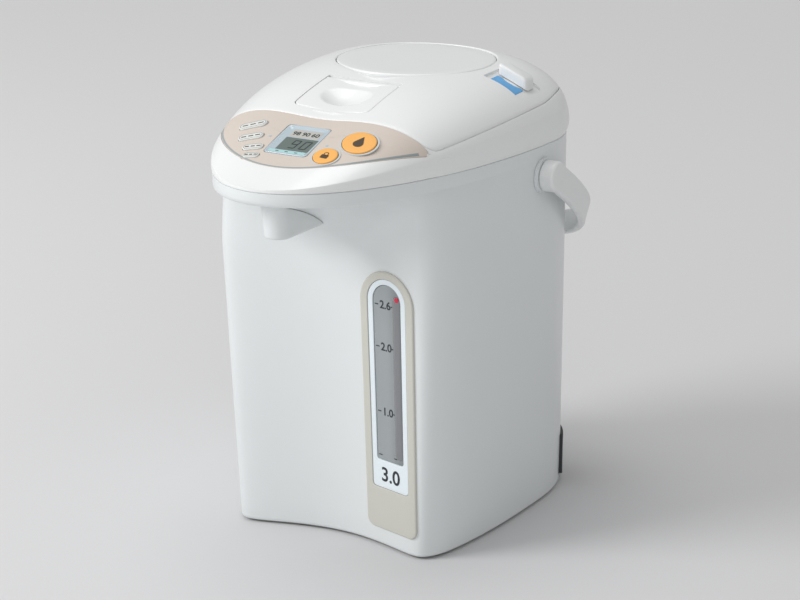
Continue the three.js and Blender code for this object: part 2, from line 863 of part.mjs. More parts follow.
function handleBail() {
  const rings = [];
  for (let step = 0; step <= handleSteps; step += 1) {
    rings.push(handleRing(step));
  }
  const { hubRadius, pivotY, pivotZ } = handle;
  const hub = (lowX, highX) => axle(hubRadius, lowX, highX, pivotY, pivotZ, turnedSteps);
  const bore = (lowX, highX) => axle(boss.stub + gap, lowX, highX, pivotY, pivotZ);
  const solid = joined(loft(rings), hub(hubInX, hubOutX), hub(-hubOutX, -hubInX));
  const inX = hubInX - overrun;
  const boreEndX = stubEndX + gap;
  return without(solid, bore(inX, boreEndX), bore(-boreEndX, -inX));
}

// Shoulder ring and control panel.

const shoulderLowZ = head.seamZ + gap;

const keyRoom = (key, grow) => {
  const frame = domeFrame(key.x, key.y, key.turn);
  const outline = key.radius
    ? ellipseOutline(0, 0, key.radius + grow, key.radius + grow, turnedSteps)
    : stadium(key.halfLength + grow, key.halfWidth + grow);
  return placed(prism(outline, -overrun, overrun), frame);
};

function stadium(halfLength, halfWidth) {
  return roundedRectangle(-halfLength, halfLength, -halfWidth, halfWidth, halfWidth);
}

function screenRoom(grow) {
  const { halfWidth, halfDepth, cornerRound } = screen;
  const [across, along] = [halfWidth + grow, halfDepth + grow];
  const outline = roundedRectangle(-across, across, -along, along, cornerRound);
  return placed(prism(outline, -screen.thick - grow, overrun), domeFrame(0, screen.y));
}

function moduleRoom(grow) {
  const { halfWidth, halfDepth, deep, thick } = module;
  const [across, along] = [halfWidth + grow, halfDepth + grow];
  const solid = block(-across, across, -along, along, -deep - thick - grow, -deep + grow);
  return placed(solid, domeFrame(0, screen.y));
}

// The shoulder's thin skin with the ledge that carries the control panel.
function shoulderSkin() {
  const skin = without(headSolid(0, 0, shoulderLowZ), headSolid(wall, wall, shoulderLowZ - overrun));
  const panelLayer = headLayer(0, panel.thick + gap + panel.ledgeThick);
  const ledge = prism(panelOutline(gap + wall), shoulderLowZ, head.topZ).intersect(panelLayer);
  const opening = prism(panelOutline(-panel.ledge), shoulderLowZ - overrun, head.topZ + overrun);
  return without(joined(skin, ledge), opening);
}

// Solid plastic behind the lid, where the hinge's trough is cut.
function hingeFill() {
  const half = hinge.troughHalf + wall;
  const rearY = head.centreY + head.rearDepth;
  const room = block(-half, half, lid.rearY, rearY, shoulderLowZ, head.topZ);
  return room.intersect(headSolid(0, 0, shoulderLowZ));
}

// The room for the lid, the vessel's mouth and the lid's hinge.
function lidWell() {
  const well = lidBlock(slack, deck.highZ, 0);
  const floorHole = prism(lidOutline(slack), shoulderLowZ - overrun, deck.lowZ);
  const mouth = rod(vessel.mouth + gap, shoulderLowZ - overrun, head.topZ, 0, 0, turnedSteps);
  const trough = axle(hinge.sweep, -hinge.troughHalf, hinge.troughHalf, hinge.y, hinge.z, turnedSteps);
  return joined(well, floorHole, mouth, trough, latchSlot());
}

function shoulderFrame() {
  const wellWall = lidBlock(slack + wall, shoulderLowZ, 0).intersect(headSolid(0, 0, shoulderLowZ));
  const shell = joined(shoulderSkin(), wellWall, hingeFill());
  const recess = prism(panelOutline(gap), shoulderLowZ, head.topZ + overrun);
  const panelRoom = recess.intersect(headLayer(-overrun, panel.thick + gap));
  const keys = [...roundKeys, ...ovalKeys].map((key) => keyRoom(key, cap.flange + slack));
  const carved = without(shell, lidWell(), panelRoom, ...keys);
  return without(joined(carved, fixedKnuckle(1), fixedKnuckle(-1)), hingeBore());
}

function latchSlot() {
  const half = latch.halfWidth + slack;
  const lowY = latch.noseY - slack - latch.slotDeep;
  return block(-half, half, lowY, latch.noseY + slack, latch.lowZ - slack, latch.highZ + slack);
}

function fixedKnuckle(side) {
  const [inX, outX] = [hinge.lidHalf + slack, hinge.fixedHalf];
  const barrel = axle(hinge.knuckle, inX, outX, hinge.y, hinge.z);
  const foot = block(inX, outX, hinge.y - hinge.webRise, hinge.y + hinge.knuckle, deck.highZ - gap, hinge.z);
  const right = joined(barrel, foot);
  return side > 0 ? right : right.mirror([1, 0, 0]);
}

const hingeBore = () => {
  const half = hinge.fixedHalf + overrun;
  return axle(hinge.pin + gap, -half, half, hinge.y, hinge.z);
};

const hingePin = () => axle(hinge.pin, -hinge.fixedHalf, hinge.fixedHalf, hinge.y, hinge.z);

function controlPanel() {
  const slab = prism(panelOutline(0), head.seamZ, head.topZ).intersect(headLayer(0, panel.thick));
  const keys = [...roundKeys, ...ovalKeys].map((key) => keyRoom(key, gap));
  return without(slab, screenRoom(gap), moduleRoom(gap), ...keys);
}

function screenLens() {
  const { halfWidth, halfDepth, cornerRound, thick, proud } = screen;
  const outline = roundedRectangle(-halfWidth, halfWidth, -halfDepth, halfDepth, cornerRound);
  return placed(prism(outline, -thick, proud), domeFrame(0, screen.y));
}

const lcdModule = () => moduleRoom(0);

function controlBoard() {
  const { halfWidth, noseHalfWidth, frontY, waistY, rearY, deep, thick } = board;
  const outline = [
    [-noseHalfWidth, frontY],
    [noseHalfWidth, frontY],
    [halfWidth, waistY],
    [halfWidth, rearY],
    [-halfWidth, rearY],
    [-halfWidth, waistY],
  ];
  return placed(prism(outline, -deep, thick - deep), domeFrame(0, screen.y));
}

function keyCap(key) {
  const outlineOf = (grow) => (key.radius
    ? ellipseOutline(0, 0, key.radius + grow, key.radius + grow, turnedSteps)
    : stadium(key.halfLength + grow, key.halfWidth + grow));
  const crown = loft([
    outlineOf(0).map(([x, y]) => new THREE.Vector3(x, y, -cap.flangeLow)),
    outlineOf(0).map(([x, y]) => new THREE.Vector3(x, y, cap.proud - cap.round)),
    outlineOf(-cap.round).map(([x, y]) => new THREE.Vector3(x, y, cap.proud)),
  ]);
  const flange = prism(outlineOf(cap.flange), -cap.flangeLow, -cap.flangeHigh);
  const stem = rod(cap.stem, -cap.stemLow, -cap.flangeHigh);
  return placed(joined(crown, flange, stem), domeFrame(key.x, key.y, key.turn));
}

// Lid.

// The lid's dome and side walls, with the ring that guides the push plate.
function lidSkin() {
  const dome = headSolid(0, 0, lid.lowZ - overrun);
  const inner = headSolid(0, wall, lid.lowZ - overrun).intersect(lidBlock(-wall, lid.lowZ - overrun));
  const guideRadius = plate.radius + slack + guide.wall;
  const guideWall = rod(guideRadius, guide.lowZ, head.topZ, 0, 0, turnedSteps).intersect(dome);
  return joined(without(dome.intersect(lidBlock(0, lid.lowZ)), inner), guideWall);
}

// The hollow in which the lever swings; grow adds the wall round it.
function leverPocket(grow) {
  const rearY = lever.pivotY + lever.knuckle + slack;
  const room = prism(leverOutline(slack + grow, rearY + grow), lid.lowZ, head.topZ + overrun);
  const top = grow > 0 ? 0 : -overrun;
  return room.intersect(headLayer(top, lever.pocketDeep + grow));
}

// The shallow recess in which the lock slides; grow adds the plastic behind it.
function lockRecess(grow) {
  const { recessHalfWidth, recessFrontY, recessRearY, recessDeep, backing } = lock;
  const outline = lockOutline(recessHalfWidth + grow, recessFrontY - grow, recessRearY + grow);
  const room = prism(outline, lid.lowZ, head.topZ + overrun);
  return room.intersect(grow > 0 ? headLayer(0, backing) : headLayer(-overrun, recessDeep));
}

function lidKnuckle() {
  const half = hinge.lidHalf;
  const barrel = axle(hinge.knuckle, -half, half, hinge.y, hinge.z);
  const [lowZ, highZ] = [hinge.z - hinge.knuckle, hinge.z + hinge.webRise];
  return joined(barrel, block(-half, half, lid.rearY - wall, hinge.y, lowZ, highZ));
}

function lidShell() {
  const shell = joined(lidSkin(), leverPocket(wall), lockRecess(wall), lidKnuckle());
  const plateHole = rod(plate.radius + slack, guide.lowZ - overrun, head.topZ + overrun, 0, 0, turnedSteps);
  const pinHole = leverPinRod(lever.pin + gap, leverPinHalf + wall + gap);
  const rooms = [knuckleRoom(1), knuckleRoom(-1), hingeBore(), latchRoom()];
  return without(shell, plateHole, leverPocket(0), lockRecess(0), pinHole, ...rooms);
}

function knuckleRoom(side) {
  const [inX, outX] = [hinge.lidHalf, hinge.fixedHalf + slack];
  const right = axle(hinge.knuckle + slack, inX, outX, hinge.y, hinge.z);
  return side > 0 ? right : right.mirror([1, 0, 0]);
}

function latchRoom() {
  const half = latch.halfWidth + slack;
  return block(-half, half, lid.frontY - overrun, latch.tailY, latch.lowZ - gap, latch.highZ + gap);
}

function lidInner() {
  const outline = lidBlock(-wall - gap, lid.lowZ - overrun);
  const slab = outline.intersect(block(
    -lid.halfWidth,
    lid.halfWidth,
    lid.frontY,
    lid.rearY,
    plug.plateLowZ,
    plug.plateHighZ,
  ));
  const cup = rod(plug.radius, plug.floorLowZ, plug.plateHighZ, 0, 0, turnedSteps);
  const room = rod(plug.radius - plug.wall, plug.floorHighZ, plug.plateHighZ + overrun, 0, 0, turnedSteps);
  return without(joined(slab, cup), room);
}

function lidGasket() {
  const [inner, outer] = [plug.radius + gap, gasket.outer];
  const [lowZ, highZ] = [deck.highZ + gap, plug.plateLowZ - gap];
  const { round } = gasket;
  return turned([
    [inner, lowZ],
    [outer - round, lowZ],
    [outer, lowZ + round],
    [outer, highZ - round],
    [outer - round, highZ],
    [inner, highZ],
    [inner, lowZ],
  ]);
}

function pumpPlate() {
  const { radius, topZ, thick, edgeRound, skirtOuter, skirtInner, skirtZ } = plate;
  const lowZ = topZ - thick;
  return turned([
    [0, lowZ],
    [skirtInner, lowZ],
    [skirtInner, skirtZ],
    [skirtOuter, skirtZ],
    [skirtOuter, lowZ - thick],
    [radius, lowZ - thick],
    [radius, topZ - edgeRound],
    [radius - edgeRound, topZ],
    [0, topZ],
  ], 0, 0, pointsRound);
}

function bellowsPiece() {
  const highZ = plate.topZ - plate.thick - gap;
  const outside = [];
  const inside = [];
  const steps = bellows.folds * 2;
  for (let i = 0; i <= steps; i += 1) {
    const radius = i % 2 ? bellows.outer : bellows.inner + bellows.wall;
    const z = mix(bellows.lowZ, highZ, i / steps);
    outside.push([radius, z]);
    inside.unshift([radius - bellows.wall, z]);
  }
  return turned([...outside, ...inside, outside[0]]);
}

function plateSpring() {
  const [lowZ, highZ] = [bellows.lowZ + spring.wire, plate.topZ - plate.thick - gap - spring.wire];
  const steps = spring.turns * springStepsPerTurn;
  const rings = [];
  for (let i = 0; i <= steps; i += 1) {
    const turn = (2 * Math.PI * spring.turns * i) / steps;
    const out = new THREE.Vector3(Math.cos(turn), Math.sin(turn), 0);
    const middle = out.clone().multiplyScalar(spring.radius).setZ(mix(lowZ, highZ, i / steps));
    const ring = ellipseOutline(0, 0, spring.wire, spring.wire, springSides);
    rings.push(ring.map(([u, v]) => middle.clone().addScaledVector(out, u).add(new THREE.Vector3(0, 0, v))));
  }
  return loft(rings);
}

const leverPinHalf = lever.halfWidth + slack + wall - gap;

const leverPivotZ = () => domeAt(lever.halfWidth, lever.pivotY) - lever.knuckle - gap;

const leverPinRod = (radius, half) => axle(radius, -half, half, lever.pivotY, leverPivotZ());

function leverFlap() {
  const outline = leverOutline(0, lever.pivotY);
  const flap = prism(outline, lid.lowZ, head.topZ).intersect(headLayer(0, lever.thick));
  const cupDepth = lever.dip + lever.cupWall;
  const cup = prism(leverDip(lever.cupWall), lid.lowZ, head.topZ).intersect(headLayer(0, cupDepth));
  const bowl = new THREE.SphereGeometry(1, bowlSteps, smallSteps / 2);
  bowl.scale(lever.dipHalfWidth, lever.dipHalfDepth, lever.dip);
  const dip = placed(solidOf(bowl), domeFrame(0, lever.dipY));
  const barrel = axle(lever.knuckle, -lever.halfWidth, lever.halfWidth, lever.pivotY, leverPivotZ());
  return without(joined(flap, cup, barrel), dip, leverPinRod(lever.pin + gap, lever.halfWidth + overrun));
}

const leverPinPiece = () => leverPinRod(lever.pin, leverPinHalf);

function latchBolt() {
  const { halfWidth, noseY, tailY, lowZ, highZ } = latch;
  const bar = block(-halfWidth, halfWidth, noseY + slack, tailY, lowZ, highZ);
  const slope = block(-halfWidth - overrun, halfWidth + overrun, -overrun, 0, -overrun, 0);
  const turn = new THREE.Matrix4().makeRotationX(radians(-latch.noseAngle));
  return without(bar, placed(slope, turn.setPosition(0, noseY + slack, lowZ + (highZ - lowZ) / 2)));
}

function lockKnob() {
  const outline = lockOutline(lock.halfWidth, lock.frontY, lock.rearY);
  const slab = prism(outline, lid.lowZ, head.topZ + overrun);
  return slab.intersect(headLayer(-lock.proud, lock.recessDeep - slack));
}

// Vessel and what lies below it.

function innerVessel() {
  const { radius, floorZ, floorRound, neckLowZ, neckHighZ, mouth, rimZ, rimOuter } = vessel;
  const out = vessel.wall;
  const tub = turned([
    [0, floorZ - out],
    [radius - floorRound, floorZ - out],
    [radius, floorZ - out + floorRound * vesselShares.outerCurve],
    [radius + out, floorZ + floorRound],
    [radius + out, neckLowZ],
    [mouth + out, neckHighZ],
    [mouth + out, rimZ - out],
    [rimOuter, rimZ - out],
    [rimOuter, rimZ],
    [mouth, rimZ],
    [mouth, neckHighZ],
    [radius, neckLowZ],
    [radius, floorZ + floorRound],
    [radius - floorRound * vesselShares.innerCurve, floorZ + floorRound * vesselShares.innerCurve],
    [radius - floorRound, floorZ],
    [0, floorZ],
  ]);
  const { drainX, drainY, drainOuter, drainBore, drainLowZ } = vessel;
  const drain = rod(drainOuter, drainLowZ, floorZ, drainX, drainY);
  const bore = rod(drainBore, drainLowZ - overrun, floorZ + overrun, drainX, drainY);
  return without(joined(tub, drain), bore);
}

const insulation = () => sleeveOf(sleeve.radius + sleeve.wall, sleeve.radius, sleeve.lowZ, sleeve.highZ);

const heaterRing = () => sleeveOf(heater.radius, heater.ring, heater.lowZ, heater.highZ, 0, heater.centreY);

function bottomCover() {
  const rings = [cover.lowZ, cover.highZ].map((z) => bodyRing(z, 0, wall + gap));
  const { x, y, postX, postY, post, lowZ } = powerBoard;
  const posts = [];
  [-postX, postX].forEach((dx) => {
    [-postY, postY].forEach((dy) => {
      posts.push(rod(post, cover.lowZ, lowZ - gap, x + dx, y + dy, postSteps));
    });
  });
  return joined(without(loft(rings), inletBlock(gap, overrun, -inlet.inward - gap)), ...posts);
}

function footPiece(x, y) {
  return rod(foot.radius, 0, foot.height, x, y);
}

function pumpMotor() {
  const { drainX, drainY } = vessel;
  const can = rod(motor.radius, motor.lowZ, motor.highZ, drainX, drainY, turnedSteps);
  return joined(can, rod(motor.shaft, motor.highZ - gap, motor.shaftZ, drainX, drainY));
}

function pumpFrame() {
  const heading = Math.atan2(levelTube.lowY - vessel.drainY, levelTube.x - vessel.drainX);
  const frame = new THREE.Matrix4().makeRotationZ(heading);
  return frame.setPosition(vessel.drainX, vessel.drainY, 0);
}

function pumpHousing() {
  const { radius, lowZ, highZ, inlet: inletRadius, outletOuter, outletBore, reach } = pump;
  const middleZ = (lowZ + highZ) / 2;
  const drum = rod(radius, lowZ, highZ, 0, 0, turnedSteps);
  const arm = axle(outletOuter, 0, reach, 0, middleZ);
  const room = rod(radius - pump.wall, lowZ + pump.wall, highZ - pump.wall, 0, 0, turnedSteps);
  const top = rod(inletRadius, middleZ, highZ + overrun);
  const shaftHole = rod(motor.shaft + gap, lowZ - overrun, middleZ);
  const bore = axle(outletBore, 0, reach + overrun, 0, middleZ);
  return placed(without(joined(drum, arm), room, top, shaftHole, bore), pumpFrame());
}

function pumpImpeller() {
  const { radius, hub, disc, blade, lowZ, highZ, bore, capZ } = impeller;
  const wheel = joined(rod(radius, lowZ, lowZ + disc, 0, 0, turnedSteps), rod(hub, lowZ, capZ));
  const vanes = [];
  for (let i = 0; i < blades; i += 1) {
    const turn = new THREE.Matrix4().makeRotationZ((2 * Math.PI * i) / blades);
    vanes.push(placed(block(hub / 2, radius - gap, -blade / 2, blade / 2, lowZ, highZ), turn));
  }
  const solid = without(joined(wheel, ...vanes), rod(bore, lowZ - overrun, highZ + gap));
  return placed(solid, pumpFrame());
}

function outletPipePiece() {
  const frame = pumpFrame();
  const middleZ = (pump.lowZ + pump.highZ) / 2;
  const start = new THREE.Vector3(pump.reach + gap, 0, middleZ).applyMatrix4(frame);
  const turn = new THREE.Vector3(levelTube.x, levelTube.lowY, middleZ);
  const near = start.clone().lerp(turn, bendShares.straight);
  const top = new THREE.Vector3(levelTube.x, levelTube.lowY, levelTube.lowZ - slack);
  const bend = turn.clone().lerp(top, bendShares.rise).lerp(near, bendShares.ease);
  const stations = [start, near, bend, top].map((point) => point.toArray());
  return pipe(stations, outletPipe.outer, outletPipe.bore);
}

function powerBoardPiece() {
  const { x, y, halfWidth, halfDepth, lowZ, highZ } = powerBoard;
  return block(x - halfWidth, x + halfWidth, y - halfDepth, y + halfDepth, lowZ, highZ);
}

function inletSocket() {
  const midZ = (inlet.lowZ + inlet.highZ) / 2;
  const { socketHalfWidth, socketHalfHeight, socketRound } = inlet;
  const outline = roundedRectangle(
    -socketHalfWidth,
    socketHalfWidth,
    midZ - socketHalfHeight,
    midZ + socketHalfHeight,
    socketRound,
  );
  const room = placed(upright(outline, inlet.proud + overrun, inlet.proud - inlet.socketDeep), inletFrame());
  return without(inletBlock(0, inlet.proud, -inlet.inward), room);
}

function inletPin(side) {
  const midZ = (inlet.lowZ + inlet.highZ) / 2;
  const floorY = inlet.proud - inlet.socketDeep + gap;
  const geometry = new THREE.CylinderGeometry(inlet.pin, inlet.pin, inlet.pinLength, smallSteps);
  geometry.translate(side * inlet.pinSpread, floorY + inlet.pinLength / 2, midZ);
  return placed(solidOf(geometry), inletFrame());
}

// Materials and assembly.

const looks = {
  whitePlastic: { color: '#e2e4e6', roughness: 0.42, metalness: 0 },
  lidPlastic: { color: '#eeeeef', roughness: 0.38, metalness: 0 },
  platePlastic: { color: '#e9e9ea', roughness: 0.4, metalness: 0 },
  panelBeige: { color: '#d2c8be', roughness: 0.5, metalness: 0 },
  orangeKey: { color: '#f7bf6f', roughness: 0.45, metalness: 0 },
  greyKey: { color: '#dfe3e4', roughness: 0.45, metalness: 0 },
  screenPlastic: { color: '#cdd7dc', roughness: 0.2, metalness: 0 },
  displayGreen: { color: '#5f6c67', roughness: 0.25, metalness: 0 },
  frameGrey: { color: '#d0d0c8', roughness: 0.45, metalness: 0 },
  scaleWhite: { color: '#e7f0f5', roughness: 0.4, metalness: 0 },
  smokedClear: { color: '#a3a9a9', roughness: 0.12, metalness: 0 },
  clearTube: { color: '#7f8084', roughness: 0.1, metalness: 0 },
  steel: { color: '#b9bcc0', roughness: 0.3, metalness: 1 },
  pinSteel: { color: '#c4c7ca', roughness: 0.25, metalness: 1 },
  siliconeGrey: { color: '#c9c9c5', roughness: 0.7, metalness: 0 },
  rubberDark: { color: '#4a4c4f', roughness: 0.8, metalness: 0 },
  boardGreen: { color: '#2f6b45', roughness: 0.55, metalness: 0 },
  blackPlastic: { color: '#3c4146', roughness: 0.5, metalness: 0 },
  brass: { color: '#c9a955', roughness: 0.3, metalness: 1 },
  innerPlastic: { color: '#d9dad8', roughness: 0.55, metalness: 0 },
  insulationGrey: { color: '#bfc3c6', roughness: 0.6, metalness: 0 },
};

const pot = new THREE.Group();
pot.name = 'thermo_pot';

function addPiece(name, solid, look) {
  const material = new THREE.MeshStandardMaterial({ ...looks[look], name: look });
  const mesh = new THREE.Mesh(geometryOf(solid), material);
  mesh.name = name;
  pot.add(mesh);
}

addPiece('body_shell', bodyShell(), 'whitePlastic');
addPiece('gauge_frame', gaugeFrame(), 'frameGrey');
addPiece('scale_plate', scalePlate(), 'scaleWhite');
addPiece('gauge_window', gaugeWindow(), 'smokedClear');
addPiece('level_tube', levelTubePiece(), 'clearTube');
addPiece('spout_nozzle', spoutNozzle(), 'whitePlastic');
addPiece('spout_pipe', spoutPipePiece(), 'siliconeGrey');
addPiece('handle_boss_right', handleBoss(1), 'whitePlastic');
addPiece('handle_boss_left', handleBoss(-1), 'whitePlastic');
addPiece('handle_bail', handleBail(), 'whitePlastic');
addPiece('shoulder_frame', shoulderFrame(), 'lidPlastic');
addPiece('control_panel', controlPanel(), 'panelBeige');
addPiece('screen_lens', screenLens(), 'screenPlastic');
addPiece('lcd_module', lcdModule(), 'displayGreen');
addPiece('control_board', controlBoard(), 'boardGreen');
roundKeys.forEach((key) => addPiece(key.name, keyCap(key), 'orangeKey'));
ovalKeys.forEach((key) => addPiece(key.name, keyCap(key), 'greyKey'));
addPiece('lid_shell', lidShell(), 'lidPlastic');
addPiece('lid_inner', lidInner(), 'innerPlastic');
addPiece('lid_gasket', lidGasket(), 'siliconeGrey');
addPiece('lid_hinge_pin', hingePin(), 'pinSteel');
addPiece('lid_lever', leverFlap(), 'lidPlastic');
addPiece('lever_pin', leverPinPiece(), 'pinSteel');
addPiece('lid_latch', latchBolt(), 'innerPlastic');
addPiece('pump_plate', pumpPlate(), 'platePlastic');
addPiece('pump_bellows', bellowsPiece(), 'siliconeGrey');
addPiece('plate_spring', plateSpring(), 'pinSteel');
addPiece('lock_slider', lockKnob(), 'platePlastic');
addPiece('inner_vessel', innerVessel(), 'steel');
addPiece('insulation_sleeve', insulation(), 'insulationGrey');
addPiece('heater_ring', heaterRing(), 'steel');
addPiece('bottom_cover', bottomCover(), 'innerPlastic');
addPiece('foot_front_right', footPiece(foot.frontX, foot.frontY), 'rubberDark');
addPiece('foot_front_left', footPiece(-foot.frontX, foot.frontY), 'rubberDark');
addPiece('foot_rear_right', footPiece(foot.rearX, foot.rearY), 'rubberDark');
addPiece('foot_rear_left', footPiece(-foot.rearX, foot.rearY), 'rubberDark');
addPiece('pump_motor', pumpMotor(), 'steel');
addPiece('pump_housing', pumpHousing(), 'innerPlastic');
addPiece('pump_impeller', pumpImpeller(), 'blackPlastic');
addPiece('outlet_pipe', outletPipePiece(), 'siliconeGrey');
addPiece('power_board', powerBoardPiece(), 'boardGreen');
addPiece('inlet_socket', inletSocket(), 'blackPlastic');
addPiece('inlet_pin_left', inletPin(-1), 'brass');
addPiece('inlet_pin_right', inletPin(1), 'brass');

// The finished part stands centred on X = 0, Y = 0 by its outer box.
const box = new THREE.Box3().setFromObject(pot);
const middle = box.getCenter(new THREE.Vector3());
pot.children.forEach((mesh) => mesh.geometry.translate(0, -middle.y, 0));

export default pot;
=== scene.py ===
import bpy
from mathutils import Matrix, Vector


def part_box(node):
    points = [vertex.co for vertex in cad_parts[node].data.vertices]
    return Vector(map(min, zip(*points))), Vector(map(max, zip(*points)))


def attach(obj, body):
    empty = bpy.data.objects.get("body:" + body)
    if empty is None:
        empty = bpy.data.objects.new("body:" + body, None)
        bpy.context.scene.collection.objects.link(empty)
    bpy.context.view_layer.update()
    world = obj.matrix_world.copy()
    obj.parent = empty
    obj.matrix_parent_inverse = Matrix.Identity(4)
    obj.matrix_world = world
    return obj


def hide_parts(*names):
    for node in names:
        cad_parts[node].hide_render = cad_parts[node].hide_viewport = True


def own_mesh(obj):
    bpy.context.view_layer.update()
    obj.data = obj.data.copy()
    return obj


bl_info = {
    "name": "Electric thermo pot",
    "version": (1, 0, 0),
    "blender": (4, 5, 0),
    "location": "3D View > Sidebar > Thermo pot",
    "description": "Dresses the solids of an electric thermo pot with smooth shells, prints and finishes",
    "category": "Object",
}

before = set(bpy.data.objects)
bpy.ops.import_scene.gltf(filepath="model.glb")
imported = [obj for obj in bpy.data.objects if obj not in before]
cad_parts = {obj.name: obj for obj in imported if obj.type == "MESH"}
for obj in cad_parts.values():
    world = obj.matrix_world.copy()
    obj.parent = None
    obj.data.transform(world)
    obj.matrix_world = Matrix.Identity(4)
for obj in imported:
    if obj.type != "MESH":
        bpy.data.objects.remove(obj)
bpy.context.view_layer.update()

import math
from types import SimpleNamespace

import bmesh
import bpy
from mathutils import Matrix, Vector

VESSEL_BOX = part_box("inner_vessel")
AXIS_Y = (VESSEL_BOX[0].y + VESSEL_BOX[1].y) / 2  # the vessel's axis stands here
MM = 0.001
ROUND = 288  # corners in one turn of the large shells
FINE = 64  # corners in one turn of the small pieces


# Properties

def mm(name, description, millimetres):
    """A length for the sidebar, stored in metres."""
    return bpy.props.FloatProperty(
        name=name, description=description, default=millimetres * MM, unit="LENGTH", precision=4
    )


def share(name, description, value):
    """A plain share or power for the sidebar."""
    return bpy.props.FloatProperty(name=name, description=description, default=value, precision=3)


def linear(code):
    """The linear colour of an sRGB hex value."""
    channels = [int(code[i:i + 2], 16) / 255 for i in (1, 3, 5)]
    return [c / 12.92 if c <= 0.04045 else ((c + 0.055) / 1.055) ** 2.4 for c in channels] + [1.0]


def hue(name, description, code):
    """A colour for the sidebar, given as an sRGB hex value."""
    return bpy.props.FloatVectorProperty(
        name=name, description=description, default=linear(code), subtype="COLOR", size=4, min=0, max=1
    )


class HeadSizes(bpy.types.PropertyGroup):
    half_width: mm("Half width", "From the middle of the head to its side", 97.7)
    centre_y: mm("Centre", "Where the front and rear ellipses of the plan meet", 14.2)
    front_depth: mm("Front depth", "Length of the front ellipse", 216.1)
    rear_depth: mm("Rear depth", "Length of the rear ellipse", 88)
    seam_z: mm("Seam height", "Where the head meets the body", 261)
    top_z: mm("Top height", "Highest point of the dome", 312.2)
    front_edge_z: mm("Front rim height", "Where the dome starts in front", 263.1)
    side_edge_z: mm("Side rim height", "Where the dome starts at the sides", 279.8)
    rear_edge_z: mm("Rear rim height", "Where the dome starts behind", 261.9)
    side_bulge: mm("Side bulge", "How far the sides stand out below the rim", 2)
    wall: mm("Wall", "Thickness of the moulded shells", 2.4)
    gap: mm("Gap", "Left between fixed pieces", 0.3)
    slack: mm("Slack", "Left round moving pieces", 0.5)
    deck_z: mm("Deck height", "Top of the deck round the vessel's mouth", 264)
    deck_low_z: mm("Deck underside", "Underside of that deck", 261.6)
    mouth: mm("Mouth", "Radius of the hole in the deck", 78.8)
    front_power: share("Front power", "Fullness of the dome in front", 1.95)
    side_power: share("Side power", "Fullness of the dome at the sides", 3.38)
    rear_power: share("Rear power", "Fullness of the dome behind", 3.3)
    front_round: share("Front round", "Roundness of the front rim", 0.93)
    side_round: share("Side round", "Roundness of the side and rear rims", 1.8)


class BodySizes(bpy.types.PropertyGroup):
    base_z: mm("Base height", "Lower edge of the body", 1.5)
    edge_round: mm("Edge radius", "Rounding of the lower edge", 2.6)
    base_half_width: mm("Base half width", "Half width at the base", 89.9)
    base_front: mm("Base front", "Depth of the front face at the base", 132.8)
    top_front: mm("Top front", "Depth of the front face at the seam", 141.1)
    base_rear: mm("Base rear", "Depth of the rear at the base", 89.8)
    base_sag: mm("Base bow", "How far the front face is bowed in at the base", 17.7)
    top_sag: mm("Top bow", "How far the front face is bowed in at the seam", 9.7)
    cove_z: mm("Cove start", "Where the cove under the head starts", 195)
    lip_z: mm("Lip height", "Where the cove ends", 252)
    lip_round: mm("Lip radius", "Rounding of the lip over the cove", 4)
    base_square: share("Base squareness", "Power of the front outline at the base", 2.45)
    top_square: share("Top squareness", "Power of the front outline at the seam", 2.85)
    rear_square: share("Rear squareness", "Power of the rear outline at the base", 2.6)
    corner_power: share("Corner power", "Sharpness of the face's corners", 14)
    bow_width: share("Bow width", "Share of the half width that the bow takes", 0.8)
    corner_cove: share("Corner cove", "Power of the cove at the corners", 6)
    corner_slope: share("Corner slope", "Where the corner's cove is reached", 1.2)


class LidSizes(bpy.types.PropertyGroup):
    centre_y: mm("Centre", "Centre of the side curves", 3)
    half_width: mm("Half width", "Half width of the lid", 94.2)
    front_depth: mm("Front depth", "Depth of the side curve in front", 203)
    rear_depth: mm("Rear depth", "Depth of the side curve behind", 98)
    front_y: mm("Front", "Middle of the lid's front edge", -120.5)
    pull_x: mm("Pull X", "Control point of the front edge", 50)
    pull_y: mm("Pull Y", "Control point of the front edge", -122.5)
    corner_x: mm("Corner X", "Front corner of the lid", 76)
    corner_y: mm("Corner Y", "Front corner of the lid", -115.5)
    rear_y: mm("Rear", "Straight rear edge of the lid", 84)
    low_z: mm("Low edge", "Lower edge of the lid's wall", 264.3)
    draft: mm("Draft", "How far the wall leans in at its lower edge", 2.2)
    edge: mm("Edge radius", "Rounding along the seams of the head", 0.9)
    corner: mm("Corner radius", "Rounding of the lid's corners in plan", 7)
    guide_wall: mm("Guide wall", "Wall round the push plate", 2)
    guide_z: mm("Guide height", "Lower edge of that wall", 276)
    hinge_y: mm("Hinge Y", "Place of the lid's hinge", 88)
    hinge_z: mm("Hinge Z", "Height of the lid's hinge", 287)
    knuckle: mm("Knuckle", "Radius of the hinge's barrel", 5)
    knuckle_half: mm("Lid barrel", "Half length of the lid's barrel", 14)
    fixed_half: mm("Fixed barrels", "Outer end of the shoulder's barrels", 20)
    sweep: mm("Trough", "Radius of the hinge's trough", 11.8)
    trough_half: mm("Trough length", "Half length of the trough", 46)


